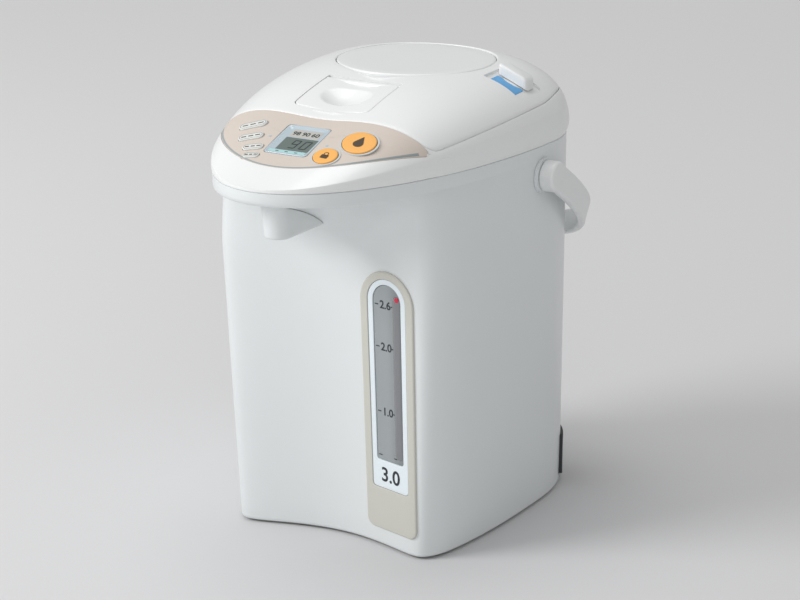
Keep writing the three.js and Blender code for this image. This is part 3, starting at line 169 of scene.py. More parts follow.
class PlateSizes(bpy.types.PropertyGroup):
    radius: mm("Radius", "Radius of the push plate", 54)
    top_z: mm("Top", "Height of the push plate", 309.7)
    thick: mm("Thickness", "Thickness of the push plate", 3)
    edge: mm("Edge radius", "Rounding of the push plate's rim", 1.4)
    skirt_outer: mm("Skirt outside", "Outer radius of its skirt", 51.5)
    skirt_inner: mm("Skirt inside", "Inner radius of its skirt", 49.5)
    skirt_z: mm("Skirt height", "Lower edge of its skirt", 291)
    travel: mm("Travel", "How far the plate goes down", 15)
    bellows_outer: mm("Bellows outside", "Outer radius of the bellows", 45)
    bellows_inner: mm("Bellows inside", "Outer radius between its folds", 38.2)
    bellows_wall: mm("Bellows wall", "Thickness of the bellows", 1.2)
    bellows_low_z: mm("Bellows foot", "Height of the bellows' foot", 258.3)
    spring_radius: mm("Spring radius", "Radius of the spring's coils", 22)
    spring_wire: mm("Spring wire", "Radius of the spring's wire", 1.4)
    spring_turns: share("Spring turns", "Turns of the spring", 6)


class LeverSizes(bpy.types.PropertyGroup):
    half_width: mm("Half width", "Half width of the lid's lever", 28)
    front_y: mm("Front", "Front edge of the lever", -110)
    pivot_y: mm("Pivot", "Pivot of the lever", -68)
    thick: mm("Thickness", "Thickness of the lever's plate", 3)
    knuckle: mm("Knuckle", "Radius of the lever's barrel", 2.8)
    corner: mm("Corner radius", "Front corners of the lever", 4)
    dip_y: mm("Dip", "Middle of the finger dip", -90)
    dip_half_width: mm("Dip half width", "Half width of the finger dip", 18.5)
    dip_half_depth: mm("Dip half depth", "Half depth of the finger dip", 12.5)
    dip: mm("Dip depth", "Depth of the finger dip", 4)
    pocket: mm("Pocket", "Depth of the pocket under the lever", 9.8)


class LockSizes(bpy.types.PropertyGroup):
    centre_x: mm("Centre", "Middle of the lock slider", 75)
    half_width: mm("Half width", "Half width of the slider", 11)
    front_y: mm("Front", "Front of the slider", -3.5)
    rear_y: mm("Rear", "Rear of the slider", 8)
    proud: mm("Rise", "How far the slider stands up", 6.2)
    recess_half_width: mm("Recess half width", "Half width of the recess", 14)
    recess_front_y: mm("Recess front", "Front of the recess", -18)
    recess_rear_y: mm("Recess rear", "Rear of the recess", 12)
    recess: mm("Recess depth", "Depth of the recess", 1.8)


class PanelSizes(bpy.types.PropertyGroup):
    low_y: mm("Low edge", "Front middle of the control panel", -178)
    low_pull_x: mm("Pull X", "Control point of the low edge", 48)
    tip_x: mm("Tip X", "Side tip of the panel", 77)
    tip_y: mm("Tip Y", "Side tip of the panel", -117.5)
    thick: mm("Thickness", "Thickness of the panel", 1.4)
    border: mm("Border", "Width of the line along the low edge", 1.1)
    key_proud: mm("Key rise", "How far the keys stand up", 0.8)
    key_round: mm("Key edge", "Rounding of the keys", 0.6)
    screen_y: mm("Screen", "Middle of the screen", -148.5)
    screen_half_width: mm("Screen half width", "Half width of the screen's frame", 16)
    screen_half_depth: mm("Screen half depth", "Half depth of the screen's frame", 17)


class GaugeSizes(bpy.types.PropertyGroup):
    centre_x: mm("Centre", "Middle of the level gauge", 46.4)
    frame_half_width: mm("Frame half width", "Half width of the frame", 22)
    frame_low_z: mm("Frame low", "Lower end of the frame", 14)
    frame_high_z: mm("Frame high", "Upper end of the frame", 196)
    plate_half_width: mm("Plate half width", "Half width of the scale plate", 16)
    plate_low_z: mm("Plate low", "Lower end of the scale plate", 44)
    plate_high_z: mm("Plate high", "Upper end of the scale plate", 191)
    window_half_width: mm("Window half width", "Half width of the window", 11.7)
    window_low_z: mm("Window low", "Lower end of the window", 64)
    window_high_z: mm("Window high", "Upper end of the window", 187)
    tube_x: mm("Column", "Middle of the water column", 54.2)
    tube_half: mm("Column half width", "Half width of the water column", 3.4)


class SpoutSizes(bpy.types.PropertyGroup):
    half_width: mm("Half width", "Half width of the spout", 9)
    low_z: mm("Low end", "Lower end of the spout", 225.5)
    high_z: mm("High end", "Upper end of the spout", 262)
    low_nose_y: mm("Low nose", "Front of the spout at its lower end", -181)
    high_nose_y: mm("High nose", "Front of the spout at its upper end", -186)
    back_y: mm("Back", "Rear of the spout", -118)
    edge: mm("Edge radius", "Rounding of the lower edge", 1.6)
    bore_y: mm("Mouth", "Middle of the mouth", -165)
    mouth: mm("Mouth radius", "Radius of the mouth", 3.4)


class BailSizes(bpy.types.PropertyGroup):
    pivot_z: mm("Pivot height", "Height of the bail's pivots", 241)
    half_width: mm("Half width", "Half width at the middle of the bail's strap", 107.25)
    length: mm("Length", "From the pivots to the rear of the bail", 130.5)
    thick: mm("Thickness", "Thickness of the strap", 5.5)
    height: mm("Height", "Height of the strap", 17.5)
    edge: mm("Edge radius", "Rounding of the strap's edges", 2)
    hub_in: mm("Hub inside", "Inner face of the hubs", 99.8)
    hub_out: mm("Hub outside", "Outer face of the hubs", 110)
    hub_radius: mm("Hub radius", "Radius of the hubs", 10.5)
    hub_edge: mm("Hub edge", "Rounding of the hubs", 2.2)
    stub: mm("Stub", "Radius of the pin in the hubs", 5.3)
    bore_end: mm("Bore end", "How far the hubs are bored", 107.3)
    square: share("Squareness", "Power of the bail's outline", 2.6)
    tilt: bpy.props.FloatProperty(
        name="Tilt", description="Slope of the bail at rest", default=math.radians(-31), subtype="ANGLE"
    )


class Colours(bpy.types.PropertyGroup):
    body_white: hue("Body white", "Cool white of the body", "#dfe3e4")
    head_white: hue("Head white", "Warm white of the head", "#eaebeb")
    plate_white: hue("Plate white", "White of the push plate", "#e7e9e9")
    panel_beige: hue("Panel beige", "Printed film of the panel", "#cfc4ba")
    border_blue: hue("Border", "Line round the panel", "#98a1a3")
    key_orange: hue("Orange keys", "Dispense and unlock keys", "#f2b25c")
    key_pale: hue("Pale keys", "The four oval keys", "#dadcd9")
    ring_grey: hue("Key rings", "Rings round the orange keys", "#c3c9ca")
    screen_blue: hue("Screen frame", "Pale blue frame of the screen", "#b4c3cc")
    screen_dark: hue("Display", "Grey-green of the display", "#5d6b66")
    frame_grey: hue("Gauge frame", "Warm grey frame of the gauge", "#c9c8bf")
    scale_white: hue("Scale plate", "Bluish white of the scale plate", "#e4edf2")
    window_grey: hue("Window", "Grey of the gauge's window", "#92989a")
    label_blue: hue("Lock label", "Blue label under the lock slider", "#5fa6dc")


GROUPS = {
    "pot_head": HeadSizes,
    "pot_body": BodySizes,
    "pot_lid": LidSizes,
    "pot_plate": PlateSizes,
    "pot_lever": LeverSizes,
    "pot_lock": LockSizes,
    "pot_panel": PanelSizes,
    "pot_gauge": GaugeSizes,
    "pot_spout": SpoutSizes,
    "pot_bail": BailSizes,
    "pot_colours": Colours,
}


def sizes(name):
    """One property group's values as plain numbers."""
    group = getattr(bpy.context.scene, name)
    return SimpleNamespace(**{key: getattr(group, key) for key in GROUPS[name].__annotations__})


# Shape helpers

def mix(start, end, part):
    return start + (end - start) * part


def bezier(start, pull, end, steps):
    """Points of a curve with one control point."""
    points = []
    for i in range(steps + 1):
        t = i / steps
        points.append(tuple(
            (1 - t) ** 2 * a + 2 * t * (1 - t) * b + t * t * c for a, b, c in zip(start, pull, end)
        ))
    return points


def mirrored(right):
    """A right half from front to rear, with its mirror image added."""
    return right + [(-x, y) for x, y in reversed(right) if x > MM / 100]


def softened(outline, radius, least=0.3):
    """An outline whose sharp corners are rounded by walking radius along it to both sides."""
    count = len(outline)
    points = [Vector(point) for point in outline]
    soft, dropped = {}, set()
    for i, point in enumerate(points):
        before, after = point - points[i - 1], points[(i + 1) % count] - point
        if before.length < MM / 1000 or after.length < MM / 1000 or before.angle(after) < least:
            continue
        ends = []
        for step in (-1, 1):
            j, left = i, radius
            while True:
                nxt = (j + step) % count
                span = (points[nxt] - points[j]).length
                if span > left:
                    ends.append(points[j].lerp(points[nxt], left / span))
                    break
                left -= span
                dropped.add(nxt)
                j = nxt
        soft[i] = bezier(tuple(ends[0]), tuple(point), tuple(ends[1]), 8)
    result = []
    for i, point in enumerate(points):
        if i in soft:
            result += soft[i]
        elif i not in dropped:
            result.append(tuple(point))
    return result


def inset(outline, amount):
    """An outline moved inwards by amount; a negative amount moves it out."""
    points = [Vector((x, y)) for x, y in outline]
    count = len(points)
    area = sum(points[i - 1].cross(points[i]) for i in range(count))
    side = 1 if area > 0 else -1
    moved = []
    for i, point in enumerate(points):
        before = (point - points[i - 1]).normalized()
        after = (points[(i + 1) % count] - point).normalized()
        normal = Vector((-before.y - after.y, before.x + after.x)) * side
        scale = normal.length
        if scale < 1e-6:
            moved.append((point.x, point.y))
            continue
        normal /= scale
        moved.append(tuple(point + normal * amount / max(scale / 2, 0.5)))
    return moved


def shrunk(outline, centre, part):
    return [(mix(centre[0], x, part), mix(centre[1], y, part)) for x, y in outline]


def rounded_box(low_x, high_x, low_y, high_y, radius, steps=10):
    """A rectangle with round corners."""
    corners = ((high_x, low_y, -90), (high_x, high_y, 0), (low_x, high_y, 90), (low_x, low_y, 180))
    points = []
    for x, y, start in corners:
        cx = x + (radius if x == low_x else -radius)
        cy = y + (radius if y == low_y else -radius)
        for i in range(steps + 1):
            angle = math.radians(start + 90 * i / steps)
            points.append((cx + radius * math.cos(angle), cy + radius * math.sin(angle)))
    return points


def circle(radius, x=0.0, y=0.0, count=FINE):
    turn = [2 * math.pi * i / count for i in range(count)]
    return [(x + radius * math.cos(a), y + radius * math.sin(a)) for a in turn]


def toward(outline, target):
    """Where the line from the vessel's axis through target crosses an outline."""
    dx, dy = target[0], target[1]
    for i, (bx, by) in enumerate(outline):
        ax, ay = outline[i - 1]
        ex, ey = bx - ax, by - ay
        det = dx * -ey + dy * ex
        if abs(det) < 1e-12:
            continue
        t = (ax * -ey + ay * ex) / det
        u = (dx * ay - dy * ax) / det
        if t > 0 and -1e-9 <= u <= 1 + 1e-9:
            return (dx * t, dy * t)
    raise ValueError("the outline doesn't go round the vessel's axis")


def skin(rings, closed=False):
    """Joins a stack of rings; a closed skin joins the last ring to the first, an open one gets end faces."""
    bm = bmesh.new()
    loops = [[bm.verts.new(point) for point in ring] for ring in rings]
    pairs = list(zip(loops, loops[1:]))
    if closed:
        pairs.append((loops[-1], loops[0]))
    else:
        bm.faces.new(loops[0])
        bm.faces.new(loops[-1][::-1])
    for low, high in pairs:
        for i in range(len(low)):
            bm.faces.new((low[i], low[i - 1], high[i - 1], high[i]))
    bmesh.ops.recalc_face_normals(bm, faces=bm.faces[:])
    return bm


def spun(profile, steps=FINE, axis=(0, 0, 1), centre=(0, 0, 0)):
    """A body of revolution: profile holds (radius, height) points from axis to axis, or a closed loop."""
    bm = bmesh.new()
    axis = Vector(axis)
    turn = axis.to_track_quat("Z", "Y").to_matrix().to_4x4()
    place = Matrix.Translation(centre) @ turn
    verts = [bm.verts.new(place @ Vector((radius, 0, height))) for radius, height in profile]
    edges = [bm.edges.new(pair) for pair in zip(verts, verts[1:])]
    if profile[0][0] > 0:
        edges.append(bm.edges.new((verts[-1], verts[0])))
    bmesh.ops.spin(
        bm, geom=verts + edges, cent=Vector(centre), axis=axis, angle=2 * math.pi, steps=steps, use_merge=True
    )
    bmesh.ops.remove_doubles(bm, verts=bm.verts[:], dist=MM / 1000)
    bmesh.ops.recalc_face_normals(bm, faces=bm.faces[:])
    return bm


def column(outline, low_z, high_z):
    """An upright prism over an outline."""
    return skin([[(x, y, z) for x, y in outline] for z in (low_z, high_z)])


def rod(radius, low, high, count=FINE):
    """A plain cylinder between two points."""
    low, high = Vector(low), Vector(high)
    length = (high - low).length
    turn = (high - low).to_track_quat("Z", "Y").to_matrix().to_4x4()
    bm = bmesh.new()
    bmesh.ops.create_cone(
        bm, cap_ends=True, segments=count, radius1=radius, radius2=radius, depth=length,
        matrix=Matrix.Translation((low + high) / 2) @ turn,
    )
    return bm


def brick(low, high, matrix=Matrix()):
    """A plain block between two corners."""
    low, high = Vector(low), Vector(high)
    bm = bmesh.new()
    place = matrix @ Matrix.Translation((low + high) / 2) @ Matrix.Diagonal((*(high - low), 1))
    bmesh.ops.create_cube(bm, size=1, matrix=place)
    return bm


def tool(bm):
    """An object that cuts or joins another and is then removed."""
    mesh = bpy.data.meshes.new("tool")
    bm.to_mesh(mesh)
    bm.free()
    obj = bpy.data.objects.new("tool", mesh)
    bpy.context.scene.collection.objects.link(obj)
    return obj


def combined(obj, shapes, operation="DIFFERENCE"):
    """Joins shapes to an object, or cuts them from it, and leaves one closed mesh."""
    tools = [tool(shape) for shape in shapes]
    for cutter in tools:
        modifier = obj.modifiers.new("combine", "BOOLEAN")
        modifier.solver = "MANIFOLD"
        modifier.operation = operation
        modifier.object = cutter
    graph = bpy.context.evaluated_depsgraph_get()
    mesh = bpy.data.meshes.new_from_object(obj.evaluated_get(graph))
    if len(mesh.polygons) < 4:
        raise RuntimeError(f"nothing is left of {obj.name}")
    obj.modifiers.clear()
    spent = obj.data
    obj.data = mesh
    bpy.data.meshes.remove(spent)
    for cutter in tools:
        spent = cutter.data
        bpy.data.objects.remove(cutter)
        bpy.data.meshes.remove(spent)
    return obj


def made(name, obj, material, nodes=(), body="base", sharp=35.0):
    """Finishes a piece: places it on the vessel's axis, smooths it, and gives it its finish and body."""
    bm = bmesh.new()
    bm.from_mesh(obj.data)
    bmesh.ops.remove_doubles(bm, verts=bm.verts[:], dist=MM / 2000)
    bmesh.ops.translate(bm, verts=bm.verts[:], vec=(0, AXIS_Y, 0))
    for face in bm.faces:
        face.smooth = True
    limit = math.radians(sharp)
    for edge in bm.edges:
        edge.smooth = len(edge.link_faces) != 2 or edge.calc_face_angle(0) < limit
    bm.to_mesh(obj.data)
    bm.free()
    obj.name = name
    obj.data.name = name
    obj.data.materials.clear()
    obj.data.materials.append(material)
    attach(obj, body)
    if nodes:
        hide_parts(*nodes)
    return obj


# The head's dome

def dome_height(head, across, along):
    reach = math.hypot(across, along)
    direction = along / reach if reach > 0 else 0
    front = max(0, -direction) ** 2
    rear = max(0, direction) ** 2
    side = 1 - front - rear
    rim = head.front_edge_z * front + head.side_edge_z * side + head.rear_edge_z * rear
    power = head.front_power * front + head.side_power * side + head.rear_power * rear
    round_by = head.front_round * front + head.side_round * (side + rear)
    return rim + (head.top_z - rim) * max(0, 1 - reach ** power) ** (1 / round_by)


def dome_at(head, x, y):
    depth = head.front_depth if y < head.centre_y else head.rear_depth
    return dome_height(head, x / head.half_width, (y - head.centre_y) / depth)


def dome_frame(head, x, y, turn=0.0):
    """A frame that stands square to the dome; turn is in degrees."""
    probe = MM / 2
    slope_x = (dome_at(head, x + probe, y) - dome_at(head, x - probe, y)) / (2 * probe)
    slope_y = (dome_at(head, x, y + probe) - dome_at(head, x, y - probe)) / (2 * probe)
    up = Vector((-slope_x, -slope_y, 1)).normalized()
    across = Vector((1, 0, slope_x)).normalized()
    along = up.cross(across)
    basis = Matrix((across, along, up)).transposed().to_4x4()
    place = Matrix.Translation((x, y, dome_at(head, x, y)))
    return place @ basis @ Matrix.Rotation(math.radians(turn), 4, "Z")


def on_dome(head, outline, rise):
    return [(x, y, dome_at(head, x, y) + rise) for x, y in outline]


def dome_pad(head, outline, centre, low, high, edge=0.0, dip=None, steps=10):
    """A pad that follows the dome from low to high above it, with a rounded top edge."""
    sink = dip or (lambda x, y: 0.0)

    def level(points, rise, dipped):
        return [(x, y, dome_at(head, x, y) + rise - (sink(x, y) if dipped else 0)) for x, y in points]

    parts = [((i + 0.5) / steps) ** 0.8 for i in range(steps)]
    rings = [level(shrunk(outline, centre, part), low, True) for part in parts]
    rings.append(level(outline, low, True))
    if edge:
        for i in range(5):
            angle = math.pi / 2 * i / 4
            ring = inset(outline, edge * (1 - math.cos(angle)))
            rings.append(level(ring, high - edge * (1 - math.sin(angle)), True))
        top = inset(outline, edge)
    else:
        rings.append(level(outline, high, True))
        top = outline
    rings += [level(shrunk(top, centre, part), high, True) for part in reversed(parts)]
    return skin(rings)


def lid_outline(lid, grow=0.0):
    """The lid's plan; grow makes it larger all round."""
    right = bezier((0, lid.front_y), (lid.pull_x, lid.pull_y), (lid.corner_x, lid.corner_y), 30)
    steps = 70
    for i in range(1, steps + 1):
        y = mix(lid.corner_y, lid.rear_y, i / steps)
        depth = lid.front_depth if y < lid.centre_y else lid.rear_depth
        right.append((lid.half_width * math.sqrt(1 - ((y - lid.centre_y) / depth) ** 2), y))
    return inset(softened(mirrored(right), lid.corner), -grow)


def panel_outline(panel, lid, head, grow=0.0):
    """The control panel's plan, a crescent along the lid's front edge."""
    low = bezier((0, panel.low_y), (panel.low_pull_x, panel.low_y), (panel.tip_x, panel.tip_y), 50)
    high = bezier(
        (panel.tip_x, lid.corner_y - head.slack),
        (lid.pull_x, lid.pull_y - head.slack),
        (0, lid.front_y - head.slack),
        30,
    )
    right = low + high
    left = [(-x, y) for x, y in reversed(low[1:] + high[:-1])]
    return inset(softened(right + left, 2.5 * MM), -grow)


# The body's form

def body_point(head, body, angle, z, rise, grow, reach):
    part = (z - body.base_z) / (head.seam_z - body.base_z)
    half_width = mix(body.base_half_width, head.half_width, part) + grow
    depth = head.front_depth - head.half_width + half_width
    rear = mix(body.base_rear, head.rear_depth, part) + grow
    c, s = math.cos(angle), math.sin(angle)
    is_front = s < 0
    square = mix(body.base_square, body.top_square, part)
    power = mix(square, 2, rise ** 1.5) if is_front else mix(body.rear_square, 2, part)
    stretch = (abs(c) ** power + abs(s) ** power) ** (-1 / power)
    if is_front:
        face_depth = mix(body.base_front, body.top_front, part) + grow
        x = half_width * abs(c) * min(stretch, face_depth / (depth * -s))
        sag = mix(body.base_sag, body.top_sag, part)
        bow = sag * max(0, 1 - (x / (body.bow_width * half_width)) ** 2)
        side = min(1, abs(c / s) / body.corner_slope) ** 2
        round_by = mix(2, body.corner_cove, side)
        advance = 1 - max(0, 1 - rise ** round_by) ** (1 / round_by)
        cut = mix(face_depth - bow, reach * depth, advance) / (depth * -s)
        corner = body.corner_power
        stretch = (stretch ** -corner + cut ** -corner) ** (-1 / corner)
    y = head.centre_y + (depth if is_front else rear) * stretch * s
    return Vector((half_width * stretch * c, y, z))


def body_ring(head, body, z, rise=0.0, grow=0.0, reach=1.12, count=ROUND):
    return [
        body_point(head, body, 2 * math.pi * (i + 0.5) / count, z, rise, grow, reach) for i in range(count)
    ]


def lip_reach(head, body, part):
    """How far the cutting face stands at a share of the lip's height."""
    start = 1 - (1 + 1.12 ** -body.corner_power) ** (-1 / body.corner_power)
    trim = start * (1 - math.sqrt(max(0, 1 - (1 - part) ** 2)))
    if trim < 1e-5:
        return 4
    return ((1 - trim) ** -body.corner_power - 1) ** (-1 / body.corner_power)


def body_rings(head, body, grow, lift, low_z):
    """The body's rings from low_z to the seam; grow moves the sides out, lift raises the cove."""
    rings = [body_ring(head, body, mix(low_z, body.cove_z + lift, i / 14), 0, grow) for i in range(15)]
    steps = 26
    for i in range(1, steps + 1):
        rise = math.sin(math.pi / 2 * i / steps)
        z = mix(body.cove_z, body.lip_z, rise) + lift
        rings.append(body_ring(head, body, z, rise, grow))
    for i in range(1, 9):
        part = (i / 8) ** 2
        z = body.lip_z + lift + body.lip_round * part
        rings.append(body_ring(head, body, z, 1, grow, lip_reach(head, body, part)))
    return rings


def face_y(head, body, x, z):
    """The Y of the body's front face at a place on it."""
    low, high = math.pi, 2 * math.pi
    for _ in range(26):
        middle = (low + high) / 2
        if body_point(head, body, middle, z, 0, 0, 1.12).x < x:
            low = middle
        else:
            high = middle
    return body_point(head, body, (low + high) / 2, z, 0, 0, 1.12).y


# Finishes

def node(tree, kind, settings=None, links=None):
    """Adds a node; capitalised settings are its sockets, the others its own properties."""
    added = tree.nodes.new(kind)
    for key, value in (settings or {}).items():
        if key[0].isupper():
            added.inputs[key].default_value = value
        else:
            setattr(added, key, value)
    for key, socket in (links or {}).items():
        tree.links.new(socket, added.inputs[key])
    return added


def surface(name, settings):
    """A material with its shader's sockets set, and the shader's node."""
    material = bpy.data.materials.new(name)
    material.use_nodes = True
    tree = material.node_tree
    shader = tree.nodes["Principled BSDF"]
    for key, value in settings.items():
        shader.inputs[key].default_value = value
    return material, tree, shader


def scaled(colour, factor):
    return [min(1, channel * factor) for channel in colour[:3]] + [1.0]


def mottled(tree, shader, colour, amount, size, stretch=(1, 1, 1)):
    """Varies the colour softly over size, and returns the Object coordinates."""
    place = node(tree, "ShaderNodeTexCoord")
    spread = node(tree, "ShaderNodeMapping", {"Scale": stretch}, {"Vector": place.outputs["Object"]})
    cloud = node(
        tree, "ShaderNodeTexNoise", {"Scale": 1 / size, "Detail": 3.0}, {"Vector": spread.outputs["Vector"]}
    )
    blend = node(
        tree, "ShaderNodeMix", {"data_type": "RGBA"}, {"Factor": cloud.outputs["Fac"]}
    )
    colours = [socket for socket in blend.inputs if socket.type == "RGBA"]
    colours[0].default_value = scaled(colour, 1 - amount)
    colours[1].default_value = scaled(colour, 1 + amount)
    result = [socket for socket in blend.outputs if socket.type == "RGBA"][0]
    tree.links.new(result, shader.inputs["Base Color"])
    return spread


def grained(tree, shader, spread, size, depth, kind="ShaderNodeTexNoise"):
    """Roughens the surface with a grain of a given size and depth."""
    grain = node(tree, kind, {"Scale": 1 / size}, {"Vector": spread.outputs["Vector"]})
    height = grain.outputs.get("Fac") or grain.outputs["Distance"]
    bump = node(tree, "ShaderNodeBump", {"Strength": 1.0, "Distance": depth}, {"Height": height})
    tree.links.new(bump.outputs["Normal"], shader.inputs["Normal"])
    rough = shader.inputs["Roughness"].default_value
    span = node(
        tree, "ShaderNodeMapRange", {"To Min": rough * 0.92, "To Max": rough * 1.08}, {"Value": height}
    )
    tree.links.new(span.outputs["Result"], shader.inputs["Roughness"])


def moulded(name, colour, roughness, coat=0.0, grain=1.2, depth=0.006):
    """Injection-moulded ABS: an even colour with the faintest flow mottling and the mould's fine grain.

    The grain of a satin mould is about 0.2 mm; it is drawn coarser so that it still shows.
    """
    material, tree, shader = surface(
        name, {"Roughness": roughness, "IOR": 1.54, "Coat Weight": coat, "Coat Roughness": 0.12}
    )
    spread = mottled(tree, shader, colour, 0.012, 40 * MM)
    grained(tree, shader, spread, grain * MM, depth * MM)
    return material


def printed(name, colour, roughness=0.42):
    """Screen-printed film or ink: flat colour with the slight unevenness of the ink coat."""
    material, tree, shader = surface(name, {"Roughness": roughness, "IOR": 1.5, "Specular IOR Level": 0.4})
    spread = mottled(tree, shader, colour, 0.02, 6 * MM)
    grained(tree, shader, spread, 0.8 * MM, 0.004 * MM)
    return material


def drawn_steel(name, colour, roughness):
    """Drawn stainless steel: fine lines round the vessel's wall, drawn 0.6 mm apart so that they show."""
    material, tree, shader = surface(name, {"Roughness": roughness, "Metallic": 1.0})
    spread = mottled(tree, shader, colour, 0.05, 3 * MM, stretch=(0.04, 0.04, 1))
    grained(tree, shader, spread, 0.6 * MM, 0.01 * MM)
    return material


def silicone(name, colour):
    """Moulded silicone: dull, slightly translucent, and faintly dusty."""
    material, tree, shader = surface(
        name, {"Roughness": 0.62, "IOR": 1.41, "Subsurface Weight": 0.15, "Subsurface Scale": 2 * MM}
    )
    spread = mottled(tree, shader, colour, 0.04, 12 * MM)
    grained(tree, shader, spread, 1 * MM, 0.02 * MM)
    return material


def laminate(name, colour):
    """Glass-cloth circuit laminate: green lacquer over a woven cloth with 0.5 mm threads."""
    material, tree, shader = surface(name, {"Roughness": 0.4, "IOR": 1.55})
    spread = mottled(tree, shader, colour, 0.12, 4 * MM)
    grained(tree, shader, spread, 1 * MM, 0.03 * MM, "ShaderNodeTexVoronoi")
    return material


def display_glass(name, colour):
    """A liquid crystal display: grey-green cells about 0.5 mm wide behind a polished sheet."""
    material, tree, shader = surface(
        name, {"Roughness": 0.3, "IOR": 1.52, "Coat Weight": 0.6, "Coat Roughness": 0.04}
    )
    spread = mottled(tree, shader, colour, 0.06, 0.5 * MM)
    grained(tree, shader, spread, 0.5 * MM, 0.002 * MM)
    return material


def window_plastic(name, colour, dark_from, dark_to):
    """Smoked acrylic over the water column: grey, a little darker along the column's side."""
    material, tree, shader = surface(
        name, {"Roughness": 0.16, "IOR": 1.49, "Coat Weight": 0.5, "Coat Roughness": 0.05}
    )
    place = node(tree, "ShaderNodeTexCoord")
    parts = node(tree, "ShaderNodeSeparateXYZ", links={"Vector": place.outputs["Object"]})
    across = node(
        tree, "ShaderNodeMapRange", {"From Min": dark_from, "From Max": dark_to, "interpolation_type": "SMOOTHSTEP"},
        {"Value": parts.outputs["X"]},
    )
    ramp = node(tree, "ShaderNodeValToRGB", links={"Fac": across.outputs["Result"]})
    ramp.color_ramp.elements[0].color = scaled(colour, 1.1)
    ramp.color_ramp.elements[1].color = scaled(colour, 0.72)
    cloud = node(tree, "ShaderNodeTexNoise", {"Scale": 1 / (9 * MM)}, {"Vector": place.outputs["Object"]})
    span = node(tree, "ShaderNodeMapRange", {"To Min": 0.12, "To Max": 0.2}, {"Value": cloud.outputs["Fac"]})
    tree.links.new(ramp.outputs["Color"], shader.inputs["Base Color"])
    tree.links.new(span.outputs["Result"], shader.inputs["Roughness"])
    return material


FINISHES = {}


def finishes():
    """All the materials, made once."""
    if FINISHES:
        return FINISHES
    c = sizes("pot_colours")
    plain = {
        "body": moulded("abs_moulded_cool_white", c.body_white, 0.36, 0.25),
        "head": moulded("abs_moulded_warm_white", c.head_white, 0.34, 0.3),
        "plate": moulded("abs_moulded_plate_white", c.plate_white, 0.33, 0.3),
        "bail": moulded("abs_moulded_bail_white", c.plate_white, 0.38, 0.2),
        "frame": moulded("abs_moulded_frame_grey", c.frame_grey, 0.45),
        "inner": moulded("polypropylene_moulded_off_white", linear("#dcdcd6"), 0.5),
        "black": moulded("polyamide_moulded_black", linear("#24272a"), 0.5, grain=0.8, depth=0.03),
        "panel": printed("film_printed_beige", c.panel_beige),
        "border": printed("film_printed_border", c.border_blue),
        "orange": printed("film_printed_orange", c.key_orange, 0.38),
        "pale": printed("film_printed_pale", c.key_pale, 0.38),
        "ring": printed("film_printed_ring", c.ring_grey),
        "outline": printed("ink_printed_fine_line", linear("#8f9291")),
        "scale": printed("film_printed_scale_white", c.scale_white, 0.3),
        "ink": printed("ink_printed_dark", linear("#2c3036"), 0.5),
        "brown": printed("ink_printed_brown", linear("#4a3a28"), 0.5),
        "red": printed("polystyrene_dyed_red", linear("#c8324a"), 0.3),
        "blue": printed("film_printed_blue", c.label_blue),
        "teal": printed("film_printed_teal", linear("#a9d2d2")),
        "band": printed("film_printed_grey_band", linear("#b9b7b2")),
        "screen": moulded("acrylic_moulded_pale_blue", c.screen_blue, 0.2, 0.6, depth=0.002),
        "display": display_glass("display_glass_grey_green", c.screen_dark),
        "segment": printed("display_segment_dark", linear("#2f3b3a"), 0.35),
        "window": window_plastic("acrylic_smoked_window", c.window_grey, 44 * MM, 58 * MM),
        "column": moulded("acrylic_extruded_column", linear("#76787b"), 0.14, 0.8, depth=0.002),
        "steel": drawn_steel("stainless_steel_drawn", linear("#c3c5c7"), 0.28),
        "dull_steel": drawn_steel("steel_zinc_plated", linear("#a9adb0"), 0.42),
        "bright": drawn_steel("steel_polished_wire", linear("#d0d2d4"), 0.18),
        "brass": drawn_steel("brass_turned", linear("#c9a452"), 0.25),
        "silicone": silicone("silicone_moulded_grey", linear("#c4c5c2")),
        "rubber": silicone("rubber_moulded_dark", linear("#3d3f41")),
        "foam": silicone("foam_sheet_grey", linear("#b9bcbf")),
        "board": laminate("laminate_lacquered_green", linear("#2b6a42")),
    }
    FINISHES.update(plain)
    return FINISHES


def dress(finish, *names):
    """Gives CAD nodes their finish."""
    for name in names:
        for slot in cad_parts[name].material_slots:
            slot.link = "OBJECT"
            slot.material = finishes()[finish]


# Pieces of the head

def bulged(head, point, angle, z):
    """Moves a point of the head's side out by the soft swelling of its wall."""
    rim = dome_height(head, math.cos(angle), math.sin(angle))
    part = (z - head.seam_z) / (rim - head.seam_z)
    if part < 0.55:
        swell = 1 - (1 - part / 0.55) ** 2.5
    elif part < 1.35:
        swell = 0.5 * (1 + math.cos(math.pi * (part - 0.55) / 0.8))
    else:
        swell = 0
    out = head.side_bulge * math.cos(angle) ** 2 * swell
    return (point[0] + out * math.cos(angle), point[1] + out * math.sin(angle), z)


def head_plan(head, count=ROUND):
    """The head's outline with the angle of each corner."""
    plan = []
    for i in range(count):
        angle = 2 * math.pi * (i + 0.5) / count
        depth = head.front_depth if math.sin(angle) < 0 else head.rear_depth
        x, y = head.half_width * math.cos(angle), head.centre_y + depth * math.sin(angle)
        plan.append((x, y, angle))
    return plan


